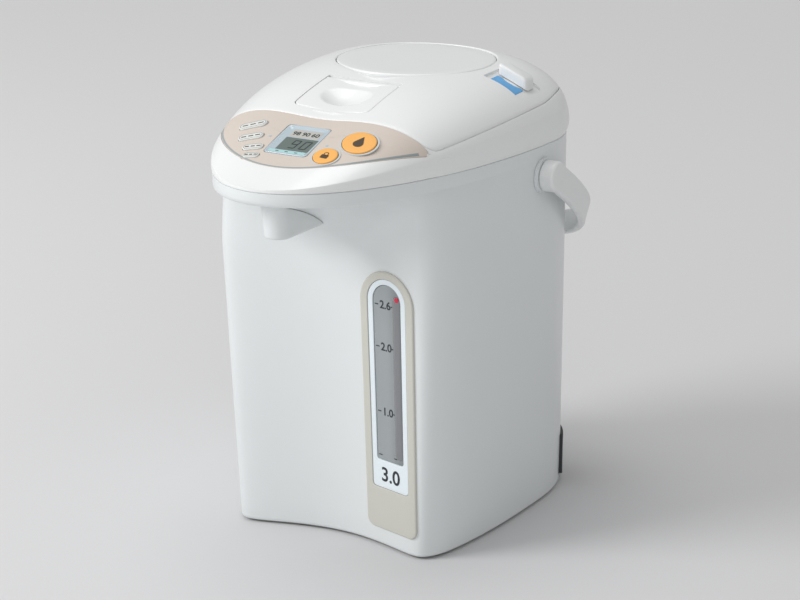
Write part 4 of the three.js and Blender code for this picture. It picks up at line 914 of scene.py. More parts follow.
def shoulder_rings(head, lid):
    plan = head_plan(head)
    rim = [(x, y) for x, y, _ in plan]
    angles = [angle for _, _, angle in plan]
    rims = [dome_height(head, math.cos(a), math.sin(a)) for a in angles]
    well = [toward(lid_outline(lid, head.slack), point) for point in rim]
    low_z = head.seam_z + head.gap / 2
    edge = lid.edge
    rings = []
    for i in range(4):
        turn = math.pi / 2 * i / 3
        trimmed = inset(rim, 0.5 * MM * (1 - math.sin(turn)))
        rings.append([(x, y, low_z + 0.5 * MM * (1 - math.cos(turn))) for x, y in trimmed])
    for i in range(1, 11):
        rings.append([
            bulged(head, point, a, mix(low_z + 0.5 * MM, z, i / 10)) for point, a, z in zip(rim, angles, rims)
        ])
    wide = inset(well, -edge)
    steps = 34
    for i in range(1, steps + 1):
        part = (i / steps) ** 2.2
        ring = []
        for start, end, a in zip(rim, wide, angles):
            x, y = mix(start[0], end[0], part), mix(start[1], end[1], part)
            ring.append(bulged(head, (x, y), a, dome_at(head, x, y)))
        rings.append(ring)
    for i in range(1, 6):
        turn = math.pi / 2 * i / 5
        ring = inset(well, -edge * (1 - math.sin(turn)))
        rings.append(on_dome(head, ring, -edge * (1 - math.cos(turn))))
    rings.append([(x, y, head.deck_z) for x, y in well])
    mouth = [(head.mouth * x / math.hypot(x, y), head.mouth * y / math.hypot(x, y)) for x, y in well]
    rings.append([(x, y, head.deck_z) for x, y in mouth])
    rings.append([(x, y, head.deck_low_z) for x, y in mouth])
    back = inset(well, -head.wall)
    rings.append([(x, y, head.deck_low_z) for x, y in back])
    inner_rim = inset(rim, head.wall)
    for i in range(9):
        ring = []
        for start, end in zip(back, inner_rim):
            x, y = mix(start[0], end[0], i / 8), mix(start[1], end[1], i / 8)
            ring.append((x, y, max(head.deck_low_z + i * MM / 100, dome_at(head, x, y) - head.wall)))
        rings.append(ring)
    rings.append([(x, y, low_z) for x, y in inner_rim])
    return rings


def dome_block(head, outline, centre, low_z, rise):
    """A block with a flat foot and a top that follows the dome."""
    rings = [[(x, y, low_z) for x, y in outline]]
    for i in range(9):
        rings.append(on_dome(head, shrunk(outline, centre, 1 - i / 9), rise))
    return skin(rings)


ROUND_KEYS = {"dispense_button": (41.7, -142.1, 11.0), "unlock_button": (28.1, -160.4, 8.0)}
OVAL_KEYS = {
    "key_boil": (-39.7, -138.9, 9.5, 3.75, 22.0),
    "key_keep_warm": (-33.3, -151.4, 8.5, 3.5, 22.0),
    "key_timer": (-25.2, -161.4, 7.0, 3.25, 18.0),
    "key_light": (-21.3, -169.6, 5.5, 2.75, 12.0),
}


def key_shapes(grow=0.0):
    """Each key's outline and its place on the dome, by name."""
    shapes = {}
    head = sizes("pot_head")
    for name, (x, y, radius) in ROUND_KEYS.items():
        shapes[name] = (circle(radius * MM + grow), dome_frame(head, x * MM, y * MM))
    for name, (x, y, half_length, half_width, turn) in OVAL_KEYS.items():
        reach, width = half_length * MM + grow, half_width * MM + grow
        outline = rounded_box(-reach, reach, -width, width, width * 0.98, 16)
        shapes[name] = (outline, dome_frame(head, x * MM, y * MM, turn))
    return shapes


def framed(place, outline, height):
    return [place @ Vector((x, y, height)) for x, y in outline]


def framed_block(place, outline, low, high):
    return skin([framed(place, outline, low), framed(place, outline, high)])


class POT_OT_shoulder(bpy.types.Operator):
    """Makes the shoulder ring round the lid, with the panel's recess and the hinge's trough"""
    bl_idname = "pot.shoulder"
    bl_label = "Shoulder ring"

    def execute(self, context):
        head, lid, panel = sizes("pot_head"), sizes("pot_lid"), sizes("pot_panel")
        ring = tool(skin(shoulder_rings(head, lid), closed=True))
        half = lid.trough_half + head.wall
        front_y = lid.rear_y + head.slack - MM / 5
        middle = head.rear_depth - head.wall / 2
        back = [mix(half, -half, i / 24) for i in range(25)]
        rear = [(x, head.centre_y + middle * math.sqrt(1 - (x / head.half_width) ** 2)) for x in back]
        rear += [(-half, front_y), (half, front_y)]
        fill = dome_block(head, rear, (0, 90 * MM), head.deck_low_z + MM / 20, -MM)
        combined(ring, [fill], "UNION")
        outline = panel_outline(panel, lid, head, head.gap)
        recess = dome_pad(head, outline, (0, -150 * MM), -panel.thick - head.gap, 6 * MM)
        trough = rod(
            lid.sweep, (-lid.trough_half, lid.hinge_y, lid.hinge_z), (lid.trough_half, lid.hinge_y, lid.hinge_z)
        )
        rooms = [framed_block(place, shape, -6 * MM, MM) for shape, place in key_shapes(1.7 * MM).values()]
        window = rounded_box(-14.5 * MM, 14.5 * MM, -15 * MM, 15 * MM, MM)
        screen = framed_block(dome_frame(head, 0, panel.screen_y), window, -9 * MM, MM)
        combined(ring, [recess, trough, screen, *rooms])
        knuckles = []
        for side in (-1, 1):
            inner, outer = side * (lid.knuckle_half + head.slack), side * lid.fixed_half
            knuckles.append(rod(lid.knuckle, (inner, lid.hinge_y, lid.hinge_z), (outer, lid.hinge_y, lid.hinge_z)))
            low, high = min(inner, outer), max(inner, outer)
            knuckles.append(brick((low, 85.5 * MM, head.deck_z - MM / 5), (high, 93 * MM, lid.hinge_z)))
        combined(ring, knuckles, "UNION")
        bore = rod(1.9 * MM, (-30 * MM, lid.hinge_y, lid.hinge_z), (30 * MM, lid.hinge_y, lid.hinge_z), 32)
        combined(ring, [bore])
        made("shoulder_ring", ring, finishes()["head"], ["shoulder_frame"], sharp=40)
        return {"FINISHED"}


def lid_rings(head, lid, plate):
    rim = [(x, y) for x, y, _ in head_plan(head)]
    plan = [toward(lid_outline(lid), point) for point in rim]
    bearing = [math.atan2(y, x) for x, y in plan]
    hole = plate.radius + head.slack
    edge = lid.edge

    def ring_of(radius):
        return [(radius * math.cos(a), radius * math.sin(a)) for a in bearing]

    def drafted(amount):
        """The plan moved in, but not along the straight rear edge."""
        return [
            (x, mix(y, by, min(1, max(0, (y - lid.rear_y + 3 * MM) / (3 * MM)))))
            for (x, y), (_, by) in zip(inset(plan, amount), plan)
        ]

    rings = [[(x, y, lid.low_z) for x, y in drafted(lid.draft)]]
    for i in range(6):
        turn = math.pi / 2 * i / 5
        rings.append(on_dome(head, inset(plan, edge * (1 - math.cos(turn))), -edge * (1 - math.sin(turn))))
    start, end = inset(plan, edge), ring_of(hole + edge)
    steps = 26
    for i in range(1, steps + 1):
        ring = [(mix(a[0], b[0], i / steps), mix(a[1], b[1], i / steps)) for a, b in zip(start, end)]
        rings.append(on_dome(head, ring, 0))
    for i in range(1, 6):
        turn = math.pi / 2 * i / 5
        rings.append(on_dome(head, ring_of(hole + edge * (1 - math.sin(turn))), -edge * (1 - math.cos(turn))))
    rings.append([(x, y, lid.guide_z) for x, y in ring_of(hole)])
    outer = ring_of(hole + lid.guide_wall)
    rings.append([(x, y, lid.guide_z) for x, y in outer])
    inner = inset(plan, head.wall + 0.4 * MM)
    for i in range(9):
        ring = [(mix(a[0], b[0], i / 8), mix(a[1], b[1], i / 8)) for a, b in zip(outer, inner)]
        rings.append(on_dome(head, ring, -head.wall))
    rings.append([(x, y, lid.low_z) for x, y in drafted(lid.draft + head.wall)])
    return rings


def lever_plan(head, lever, grow, rear_y):
    half = lever.half_width + grow
    plan = rounded_box(-half, half, lever.front_y - grow, rear_y + lever.corner, lever.corner + grow / 2)
    return [(x, min(y, rear_y)) for x, y in plan if y < rear_y + lever.corner / 2 or abs(x) > half - MM / 10]


class POT_OT_lid(bpy.types.Operator):
    """Makes the lid's shell with the lever's pocket, the lock's recess and the hinge's barrel"""
    bl_idname = "pot.lid"
    bl_label = "Lid"

    def execute(self, context):
        head, lid, plate = sizes("pot_head"), sizes("pot_lid"), sizes("pot_plate")
        lever, lock = sizes("pot_lever"), sizes("pot_lock")
        shell = tool(skin(lid_rings(head, lid, plate), closed=True))
        rear = lever.pivot_y + lever.knuckle + head.slack
        centre = (0, (lever.front_y + rear) / 2)
        half = lever.half_width + head.slack
        pocket = rounded_box(-half, half, lever.front_y - head.slack, rear, lever.corner)
        walls = inset(pocket, -head.wall)
        backing_plan = rounded_box(
            lock.centre_x - lock.recess_half_width - head.wall, lock.centre_x + lock.recess_half_width + 0.8 * MM,
            lock.recess_front_y - head.wall, lock.recess_rear_y + head.wall, 2 * MM,
        )
        recess_plan = rounded_box(
            lock.centre_x - lock.recess_half_width, lock.centre_x + lock.recess_half_width,
            lock.recess_front_y, lock.recess_rear_y, 2 * MM,
        )
        lock_centre = (lock.centre_x, (lock.recess_front_y + lock.recess_rear_y) / 2)
        low_x, high_x = -lid.knuckle_half, lid.knuckle_half
        extras = [
            dome_pad(head, walls, centre, -lever.pocket - head.wall, -0.9 * MM),
            dome_pad(head, backing_plan, lock_centre, -4.6 * MM, -0.6 * MM),
            rod(lid.knuckle, (low_x, lid.hinge_y, lid.hinge_z), (high_x, lid.hinge_y, lid.hinge_z)),
            brick((low_x, lid.rear_y - head.wall, lid.hinge_z - lid.knuckle), (high_x, lid.hinge_y, lid.hinge_z + 2.5 * MM)),
        ]
        combined(shell, extras, "UNION")
        cuts = [
            dome_pad(head, pocket, centre, -lever.pocket, 9 * MM),
            dome_pad(head, recess_plan, lock_centre, -lock.recess, 9 * MM),
            brick((-half, lever.pivot_y - 6 * MM, lever_pin_z(head, lever) - 4 * MM), (half, rear, 330 * MM)),
            rod(1.9 * MM, (-30 * MM, lid.hinge_y, lid.hinge_z), (30 * MM, lid.hinge_y, lid.hinge_z), 32),
            rod(1.5 * MM, (-31 * MM, lever.pivot_y, lever_pin_z(head, lever)), (31 * MM, lever.pivot_y, lever_pin_z(head, lever)), 32),
            brick((-8.5 * MM, -140 * MM, 269.4 * MM), (8.5 * MM, -101 * MM, 273.5 * MM)),
        ]
        for side in (-1, 1):
            inner, outer = side * lid.knuckle_half, side * (lid.fixed_half + head.slack)
            centre_line = ((inner, lid.hinge_y, lid.hinge_z), (outer, lid.hinge_y, lid.hinge_z))
            cuts.append(rod(lid.knuckle + head.slack, *centre_line))
        combined(shell, cuts)
        made("lid_cover", shell, finishes()["head"], ["lid_shell"], "lid", sharp=40)
        dress("inner", "lid_inner", "lid_latch")
        dress("silicone", "lid_gasket")
        dress("bright", "lid_hinge_pin", "lever_pin")
        return {"FINISHED"}


def lever_pin_z(head, lever):
    return dome_at(head, lever.half_width, lever.pivot_y) - lever.knuckle - head.gap


class POT_OT_lever(bpy.types.Operator):
    """Makes the lid's lever with its soft finger dip"""
    bl_idname = "pot.lever"
    bl_label = "Lid lever"

    def execute(self, context):
        head, lever = sizes("pot_head"), sizes("pot_lever")
        half = lever.half_width
        plan = softened(
            [(half, lever.pivot_y), (-half, lever.pivot_y), (-half, lever.front_y), (half, lever.front_y)], 5 * MM
        )
        dense = []
        for i, (x, y) in enumerate(plan):
            ax, ay = plan[i - 1]
            steps = max(1, int(math.hypot(x - ax, y - ay) / MM))
            dense += [(mix(ax, x, (k + 1) / steps), mix(ay, y, (k + 1) / steps)) for k in range(steps)]

        def dip(x, y):
            far = (x / lever.dip_half_width) ** 2 + ((y - lever.dip_y) / lever.dip_half_depth) ** 2
            return lever.dip * max(0, 1 - far) ** 1.15

        flap = tool(dome_pad(head, dense, (0, lever.dip_y), -lever.thick, 0, 0.7 * MM, dip, steps=34))
        pin_z = lever_pin_z(head, lever)
        barrel = rod(lever.knuckle, (-half, lever.pivot_y, pin_z), (half, lever.pivot_y, pin_z))
        combined(flap, [barrel], "UNION")
        combined(flap, [rod(1.5 * MM, (-40 * MM, lever.pivot_y, pin_z), (40 * MM, lever.pivot_y, pin_z), 32)])
        made("lever_flap", flap, finishes()["head"], ["lid_lever"], "lever", sharp=40)
        return {"FINISHED"}


class POT_OT_plate(bpy.types.Operator):
    """Makes the round push plate and finishes the bellows and spring under it"""
    bl_idname = "pot.plate"
    bl_label = "Push plate"

    def execute(self, context):
        p = sizes("pot_plate")
        profile = [(0, p.top_z - p.thick), (p.skirt_inner, p.top_z - p.thick), (p.skirt_inner, p.skirt_z)]
        profile += [(p.skirt_outer, p.skirt_z), (p.skirt_outer, p.top_z - 2 * p.thick)]
        profile += [(p.radius, p.top_z - 2 * p.thick)]
        for i in range(7):
            turn = math.pi / 2 * i / 6
            profile.append((
                p.radius - p.edge * (1 - math.cos(turn)), p.top_z - p.edge * (1 - math.sin(turn))
            ))
        profile += [(p.radius * part, p.top_z) for part in (0.8, 0.5, 0.2)] + [(0, p.top_z)]
        plate = tool(spun(profile, 160))
        made("push_plate", plate, finishes()["plate"], ["pump_plate"], "plate", sharp=30)
        top_z = p.top_z - p.thick - sizes("pot_head").gap
        self.bellows(p, top_z)
        self.spring(p, top_z)
        return {"FINISHED"}

    def bellows(self, p, top_z):
        """Five soft folds."""
        folds, steps = 5, 60
        outside = []
        for i in range(steps + 1):
            swell = 0.5 - 0.5 * math.cos(2 * math.pi * folds * i / steps)
            outside.append((mix(p.bellows_inner, p.bellows_outer, swell), mix(p.bellows_low_z, top_z, i / steps)))
        inside = [(radius - p.bellows_wall, z) for radius, z in reversed(outside)]
        folded = tool(spun([*outside, *inside, outside[0]], 96))
        soft = made("bellows", folded, finishes()["silicone"], ["pump_bellows"], "lid", sharp=60)
        self.shorten(soft, p, top_z)

    def spring(self, p, top_z):
        """The return spring inside the bellows."""
        low_z, high_z = p.bellows_low_z + p.spring_wire, top_z - p.spring_wire
        steps, sides = int(p.spring_turns * 40), 12
        rings = []
        for i in range(steps + 1):
            turn = 2 * math.pi * p.spring_turns * i / steps
            out = Vector((math.cos(turn), math.sin(turn), 0))
            middle = out * p.spring_radius + Vector((0, 0, mix(low_z, high_z, i / steps)))
            rings.append([
                middle + out * x + Vector((0, 0, y)) for x, y in circle(p.spring_wire, count=sides)
            ])
        coil = made("return_spring", tool(skin(rings)), finishes()["bright"], ["plate_spring"], "lid", sharp=60)
        self.shorten(coil, p, top_z)

    def shorten(self, obj, p, top_z):
        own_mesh(obj)


class POT_OT_lock(bpy.types.Operator):
    """Makes the lock slider and the blue label in its recess"""
    bl_idname = "pot.lock"
    bl_label = "Lock slider"

    def execute(self, context):
        head, lock = sizes("pot_head"), sizes("pot_lock")
        plan = rounded_box(
            lock.centre_x - lock.half_width, lock.centre_x + lock.half_width, lock.front_y, lock.rear_y, 3 * MM
        )
        centre = (lock.centre_x, (lock.front_y + lock.rear_y) / 2)
        base = -lock.recess + 1.2 * MM
        knob = tool(dome_pad(head, plan, centre, base, lock.proud, 1.8 * MM))
        made("slider_knob", knob, finishes()["plate"], ["lock_slider"], "slider", sharp=40)
        label = rounded_box(
            lock.centre_x - 10 * MM, lock.centre_x + 9 * MM, lock.recess_front_y + MM, lock.front_y - 0.9 * MM, 0.6 * MM
        )
        film = tool(dome_pad(head, label, (lock.centre_x, -12.5 * MM), -lock.recess, -lock.recess + 0.35 * MM))
        made("lock_label", film, finishes()["blue"], body="lid")
        return {"FINISHED"}


# The control panel

class POT_OT_panel(bpy.types.Operator):
    """Makes the beige control panel with its border line"""
    bl_idname = "pot.panel"
    bl_label = "Control panel"

    def execute(self, context):
        head, lid, panel = sizes("pot_head"), sizes("pot_lid"), sizes("pot_panel")
        outline = panel_outline(panel, lid, head)
        slab = tool(dome_pad(head, outline, (0, -150 * MM), -panel.thick, 0, 0.3 * MM, steps=24))
        rooms = [framed_block(place, shape, -6 * MM, 6 * MM) for shape, place in key_shapes(0.3 * MM).values()]
        half_width, half_depth = panel.screen_half_width + head.gap, panel.screen_half_depth + head.gap
        window = rounded_box(-half_width, half_width, -half_depth, half_depth, 3 * MM)
        rooms.append(framed_block(dome_frame(head, 0, panel.screen_y), window, -9 * MM, 6 * MM))
        combined(slab, rooms)
        made("panel_film", slab, finishes()["panel"], ["control_panel"], sharp=40)
        low = bezier((0, panel.low_y), (panel.low_pull_x, panel.low_y), (panel.tip_x, panel.tip_y), 60)[:-3]
        line = [(-x, y) for x, y in reversed(low[1:])] + low
        outer, inner = self.strip(line, 0.25 * MM), self.strip(line, 0.25 * MM + panel.border)
        sections = []
        for a, b in zip(outer, inner):
            corners = ((a, -0.2), (a, 0.06), (b, 0.06), (b, -0.2))
            sections.append([(x, y, dome_at(head, x, y) + rise * MM) for (x, y), rise in corners])
        border = tool(skin(sections))
        made("panel_border", border, finishes()["border"], sharp=60)
        return {"FINISHED"}

    def strip(self, line, amount):
        """The line moved towards the panel's middle."""
        moved = []
        for i, (x, y) in enumerate(line):
            a, b = Vector(line[max(0, i - 1)]), Vector(line[min(len(line) - 1, i + 1)])
            along = (b - a).normalized()
            moved.append((x - along.y * amount, y + along.x * amount))
        return moved


def flat_ring(place, outline, width, low, high):
    """A flat ring inside an outline, standing from low to high in its frame."""
    inner = inset(outline, width)
    return skin([
        framed(place, outline, low), framed(place, outline, high), framed(place, inner, high), framed(place, inner, low)
    ], closed=True)


class POT_OT_keys(bpy.types.Operator):
    """Makes the two orange buttons and the four oval keys, with their printed rings and marks"""
    bl_idname = "pot.keys"
    bl_label = "Keys"

    def execute(self, context):
        panel = sizes("pot_panel")
        proud, soft = panel.key_proud, panel.key_round
        for name, (outline, place) in key_shapes().items():
            is_round = name in ROUND_KEYS
            rings = [framed(place, outline, -5.4 * MM)]
            for i in range(6):
                turn = math.pi / 2 * i / 5
                trimmed = inset(outline, soft * (1 - math.cos(turn)))
                rings.append(framed(place, trimmed, proud - soft * (1 - math.sin(turn))))
            top = inset(outline, soft)
            rings += [framed(place, shrunk(top, (0, 0), part), proud) for part in (0.7, 0.35)]
            cap = tool(skin(rings))
            finish = finishes()["orange" if is_round else "pale"]
            made(f"{name}_cap", cap, finish, [name], f"{name}_body", sharp=40)
        for name, (outline, place) in key_shapes(1.7 * MM).items():
            if name in ROUND_KEYS:
                ring = tool(flat_ring(place, outline, 1.2 * MM, -MM / 2, 0.12 * MM))
                made(f"{name}_ring", ring, finishes()["ring"])
        for name, (outline, place) in key_shapes(-0.75 * MM).items():
            if name in OVAL_KEYS:
                ring = tool(flat_ring(place, outline, 0.35 * MM, proud - MM / 5, proud + 0.06 * MM))
                made(f"{name}_line", ring, finishes()["outline"], body=f"{name}_body")
        for name, (outline, place) in key_shapes().items():
            low, high = proud - MM / 5, proud + 0.07 * MM
            if name in OVAL_KEYS:
                reach = OVAL_KEYS[name][2] * 0.55 * MM
                spots = [(-reach, -0.15), (0, -0.15), (reach, -0.15)]
                marks = [
                    framed_block(place, rounded_box(x - reach * 0.36, x + reach * 0.36, -0.5 * MM, 0.5 * MM, 0.3 * MM), low, high)
                    for x, _ in spots
                ]
            elif name == "dispense_button":
                drop = [(0, 6.2)] + [(3.4 * math.sin(a), -1.6 - 3.4 * math.cos(a)) for a in (
                    math.radians(120 - 240 * i / 24) for i in range(25)
                )]
                marks = [framed_block(place, [(x * MM, y * MM) for x, y in drop], low, high)]
            else:
                bar = rounded_box(-2.6 * MM, 2.6 * MM, -3.2 * MM, 0.6 * MM, 0.6 * MM)
                bow = rounded_box(-1.7 * MM, 1.7 * MM, -0.4 * MM, 3.2 * MM, 1.6 * MM)
                marks = [framed_block(place, bar, low, high), flat_ring(place, bow, 0.6 * MM, low, high)]
            made(f"{name}_mark", gathered(marks), finishes()["brown"], body=f"{name}_body")
        return {"FINISHED"}


SEGMENTS = {"9": "abcdfg", "0": "abcdef"}


def segment_shapes(width, height, thick):
    """The seven strokes of a display digit as boxes (low x, high x, low y, high y)."""
    half, middle = thick / 2, height / 2
    return {
        "a": (half, width - half, height - thick, height),
        "g": (half, width - half, middle - half, middle + half),
        "d": (half, width - half, 0, thick),
        "f": (0, thick, middle, height - half),
        "b": (width - thick, width, middle, height - half),
        "e": (0, thick, half, middle),
        "c": (width - thick, width, half, middle),
    }


def lettering(text, size, place, thick=0.08 * MM):
    """Flat raised text in the XY plane of a frame, as a closed mesh."""
    curve = bpy.data.curves.new("print", "FONT")
    curve.body = text
    curve.size = size
    curve.extrude = thick / 2
    curve.offset = size * 0.018
    curve.resolution_u = 6
    curve.align_x = "CENTER"
    curve.align_y = "CENTER"
    obj = bpy.data.objects.new("print", curve)
    bpy.context.scene.collection.objects.link(obj)
    graph = bpy.context.evaluated_depsgraph_get()
    mesh = bpy.data.meshes.new_from_object(obj.evaluated_get(graph))
    bpy.data.objects.remove(obj)
    bpy.data.curves.remove(curve)
    bm = bmesh.new()
    bm.from_mesh(mesh)
    bpy.data.meshes.remove(mesh)
    bmesh.ops.remove_doubles(bm, verts=bm.verts[:], dist=MM / 500)
    bmesh.ops.transform(bm, matrix=place, verts=bm.verts[:])
    bmesh.ops.recalc_face_normals(bm, faces=bm.faces[:])
    return bm


def gathered(shapes):
    """Several closed meshes as one object."""
    whole = bmesh.new()
    for shape in shapes:
        mesh = bpy.data.meshes.new("part")
        shape.to_mesh(mesh)
        shape.free()
        whole.from_mesh(mesh)
        bpy.data.meshes.remove(mesh)
    return tool(whole)


class POT_OT_screen(bpy.types.Operator):
    """Makes the screen's pale frame, the display with its digits and the bands beside it"""
    bl_idname = "pot.screen"
    bl_label = "Screen"

    def execute(self, context):
        head, panel = sizes("pot_head"), sizes("pot_panel")
        place = dome_frame(head, 0, panel.screen_y)
        wide, deep = panel.screen_half_width, panel.screen_half_depth
        outer = rounded_box(-wide, wide, -deep, deep, 3 * MM)
        rim = inset(outer, 1.3 * MM)
        rings = [framed(place, outer, -1.8 * MM)]
        for i in range(5):
            turn = math.pi / 2 * i / 4
            trimmed = inset(outer, 0.6 * MM * (1 - math.cos(turn)))
            rings.append(framed(place, trimmed, 0.5 * MM - 0.6 * MM * (1 - math.sin(turn))))
        rings += [framed(place, rim, 0.5 * MM), framed(place, inset(rim, 0.5 * MM), 0.1 * MM)]
        rings += [framed(place, shrunk(rim, (0, 0), part), 0.1 * MM) for part in (0.6, 0.3)]
        lens = tool(skin(rings))
        made("screen_frame", lens, finishes()["screen"], ["screen_lens"], sharp=40)
        pane = rounded_box(-9.6 * MM, 14.2 * MM, -12 * MM, 2.6 * MM, 0.4 * MM)
        self.patch("display_pane", place, pane, 0.22 * MM, "display")
        band = rounded_box(-9 * MM, 12.6 * MM, 3.4 * MM, 12.2 * MM, 0.8 * MM)
        self.patch("screen_band", place, band, 0.16 * MM, "band")
        strip = rounded_box(-13.4 * MM, 13.6 * MM, -15.4 * MM, -12.6 * MM, 0.8 * MM)
        self.patch("screen_strip", place, strip, 0.18 * MM, "teal")
        self.digits(place)
        marks = []
        for x, text in ((-5.2, "98"), (1.8, "90"), (8.8, "60")):
            spot = place @ Matrix.Translation((x * MM, 7.6 * MM, 0.2 * MM))
            marks.append(lettering(text, 5.6 * MM, spot))
        for x in (-7, 0, 7):
            spot = place @ Matrix.Translation((x * MM, -14 * MM, 0.2 * MM))
            marks.append(framed_block(spot, rounded_box(-1.2 * MM, 1.2 * MM, -0.3 * MM, 0.3 * MM, 0.2 * MM), 0, 0.06 * MM))
        made("screen_marks", gathered(marks), finishes()["segment"])
        lamps = []
        for x, y in ((23, -150.6), (-20.9, -148.4)):
            lamps.append(framed_block(dome_frame(head, x * MM, y * MM), circle(MM, count=24), -MM / 2, 0.15 * MM))
        made("panel_lamps", gathered(lamps), finishes()["screen"])
        dress("display", "lcd_module")
        dress("board", "control_board")
        return {"FINISHED"}

    def patch(self, name, place, outline, rise, finish):
        shape = tool(framed_block(place, outline, -0.4 * MM, rise))
        made(name, shape, finishes()[finish])

    def digits(self, place):
        """The two digits of the temperature, leaning as such digits do."""
        strokes = []
        for start, digit in ((-2.6, "9"), (5.4, "0")):
            for key, (low_x, high_x, low_y, high_y) in segment_shapes(5.4, 10, 1.1).items():
                if key not in SEGMENTS[digit]:
                    continue
                box = [(low_x, low_y), (high_x, low_y), (high_x, high_y), (low_x, high_y)]
                shape = inset([(start + x + y * 0.12, y - 9.8) for x, y in box], 0.12)
                strokes.append(framed_block(place, [(x * MM, y * MM) for x, y in shape], MM / 5, 0.3 * MM))
        made("display_digits", gathered(strokes), finishes()["segment"])


# The body, the gauge and the spout

class POT_OT_jacket(bpy.types.Operator):
    """Makes the body's jacket with its bowed front, soft corners and the cove under the head"""
    bl_idname = "pot.jacket"
    bl_label = "Body jacket"

    def execute(self, context):
        head, body, gauge = sizes("pot_head"), sizes("pot_body"), sizes("pot_gauge")
        rings = []
        for i in range(6):
            turn = math.pi / 2 * i / 6
            trim = body.edge_round * (1 - math.sin(turn))
            rings.append(body_ring(head, body, body.base_z + body.edge_round * (1 - math.cos(turn)), 0, -trim))
        rings += body_rings(head, body, 0, 0, body.base_z + body.edge_round)
        rings.append(body_ring(head, body, head.seam_z - 0.5 * MM, 1, 0, 4))
        for part in (0.35, 1):
            z = head.seam_z - 0.5 * MM * (1 - part)
            rings.append(body_ring(head, body, z, 1, -0.5 * MM * (1 - math.sqrt(1 - part * part)), 4))
        inner = body_rings(head, body, -head.wall, head.wall, body.base_z)
        inner.append(body_ring(head, body, head.seam_z, 1, -head.wall, 4))
        jacket = tool(skin(rings + inner[::-1], closed=True))
        outline = gauge_plan(gauge, gauge.window_half_width, gauge.window_low_z, gauge.window_high_z)
        window = skin([[(x, y, z) for x, z in outline] for y in (-80 * MM, -230 * MM)])
        block = brick(
            (-19.3 * MM, -10.4 * MM, 5.7 * MM), (19.3 * MM, 8 * MM, 36.3 * MM),
            Matrix.Rotation(math.radians(-45), 4, "Z") @ Matrix.Translation((0, 107.83 * MM, 0)),
        )
        combined(jacket, [window, block])
        made("body_jacket", jacket, finishes()["body"], ["body_shell"], sharp=40)
        dress("body", "handle_boss_right", "handle_boss_left")
        dress("inner", "bottom_cover")
        dress("rubber", "foot_front_right", "foot_front_left", "foot_rear_right", "foot_rear_left")
        self.inlet(head, body)
        return {"FINISHED"}

    def inlet(self, head, body):
        """The black socket of the power inlet: it follows the body, with a sunk mouth and two pins."""
        turned = Matrix.Rotation(math.radians(-45), 4, "Z") @ Matrix.Translation((0, 107.83 * MM, 0))
        rings = body_rings(head, body, 2 * MM, -2 * MM, body.base_z)
        housing = tool(skin(rings))
        plan = rounded_box(-19 * MM, 19 * MM, 6 * MM, 36 * MM, 5 * MM)
        block = [[turned @ Vector((x, y, z)) for x, z in plan] for y in (-14 * MM, 12 * MM)]
        combined(housing, [skin(block)], "INTERSECT")
        mouth_plan = rounded_box(-13 * MM, 13 * MM, 13 * MM, 29 * MM, 3 * MM)
        mouth = [[turned @ Vector((x, y, z)) for x, z in mouth_plan] for y in (-8 * MM, 12 * MM)]
        combined(housing, [skin(mouth)])
        made("inlet_housing", housing, finishes()["black"], ["inlet_socket"], sharp=30)
        for name, side in (("inlet_pin_left", 6.5), ("inlet_pin_right", -6.5)):
            pin = tool(rod(2 * MM, inlet_spot(98 * MM, side * MM, 21 * MM), inlet_spot(106 * MM, side * MM, 21 * MM), 24))
            made(f"{name}_brass", pin, finishes()["brass"], [name], sharp=30)


def inlet_spot(along, side, z):
    """A point of the inlet, which looks out to the rear right; along counts from the vessel's axis."""
    half = math.sqrt(0.5)
    return ((along - side) * half, (along + side) * half, z)


def gauge_plan(gauge, half, low_z, high_z, corner=3 * MM):
    """A gauge outline of (x, z) points with round lower corners and a round crown."""
    cx = gauge.centre_x
    lower = rounded_box(cx - half, cx + half, low_z, high_z, corner, 8)
    points = [point for point in lower if point[1] < high_z - half]
    right = [point for point in points if point[0] >= cx]
    left = [point for point in points if point[0] < cx]
    crown = [
        (cx + half * math.cos(math.pi * i / 40), high_z - half + half * math.sin(math.pi * i / 40)) for i in range(41)
    ]
    side = [(cx + half, mix(low_z + corner, high_z - half, i / 20)) for i in range(1, 20)]
    return right + side + crown + [(2 * cx - x, z) for x, z in reversed(side)] + left


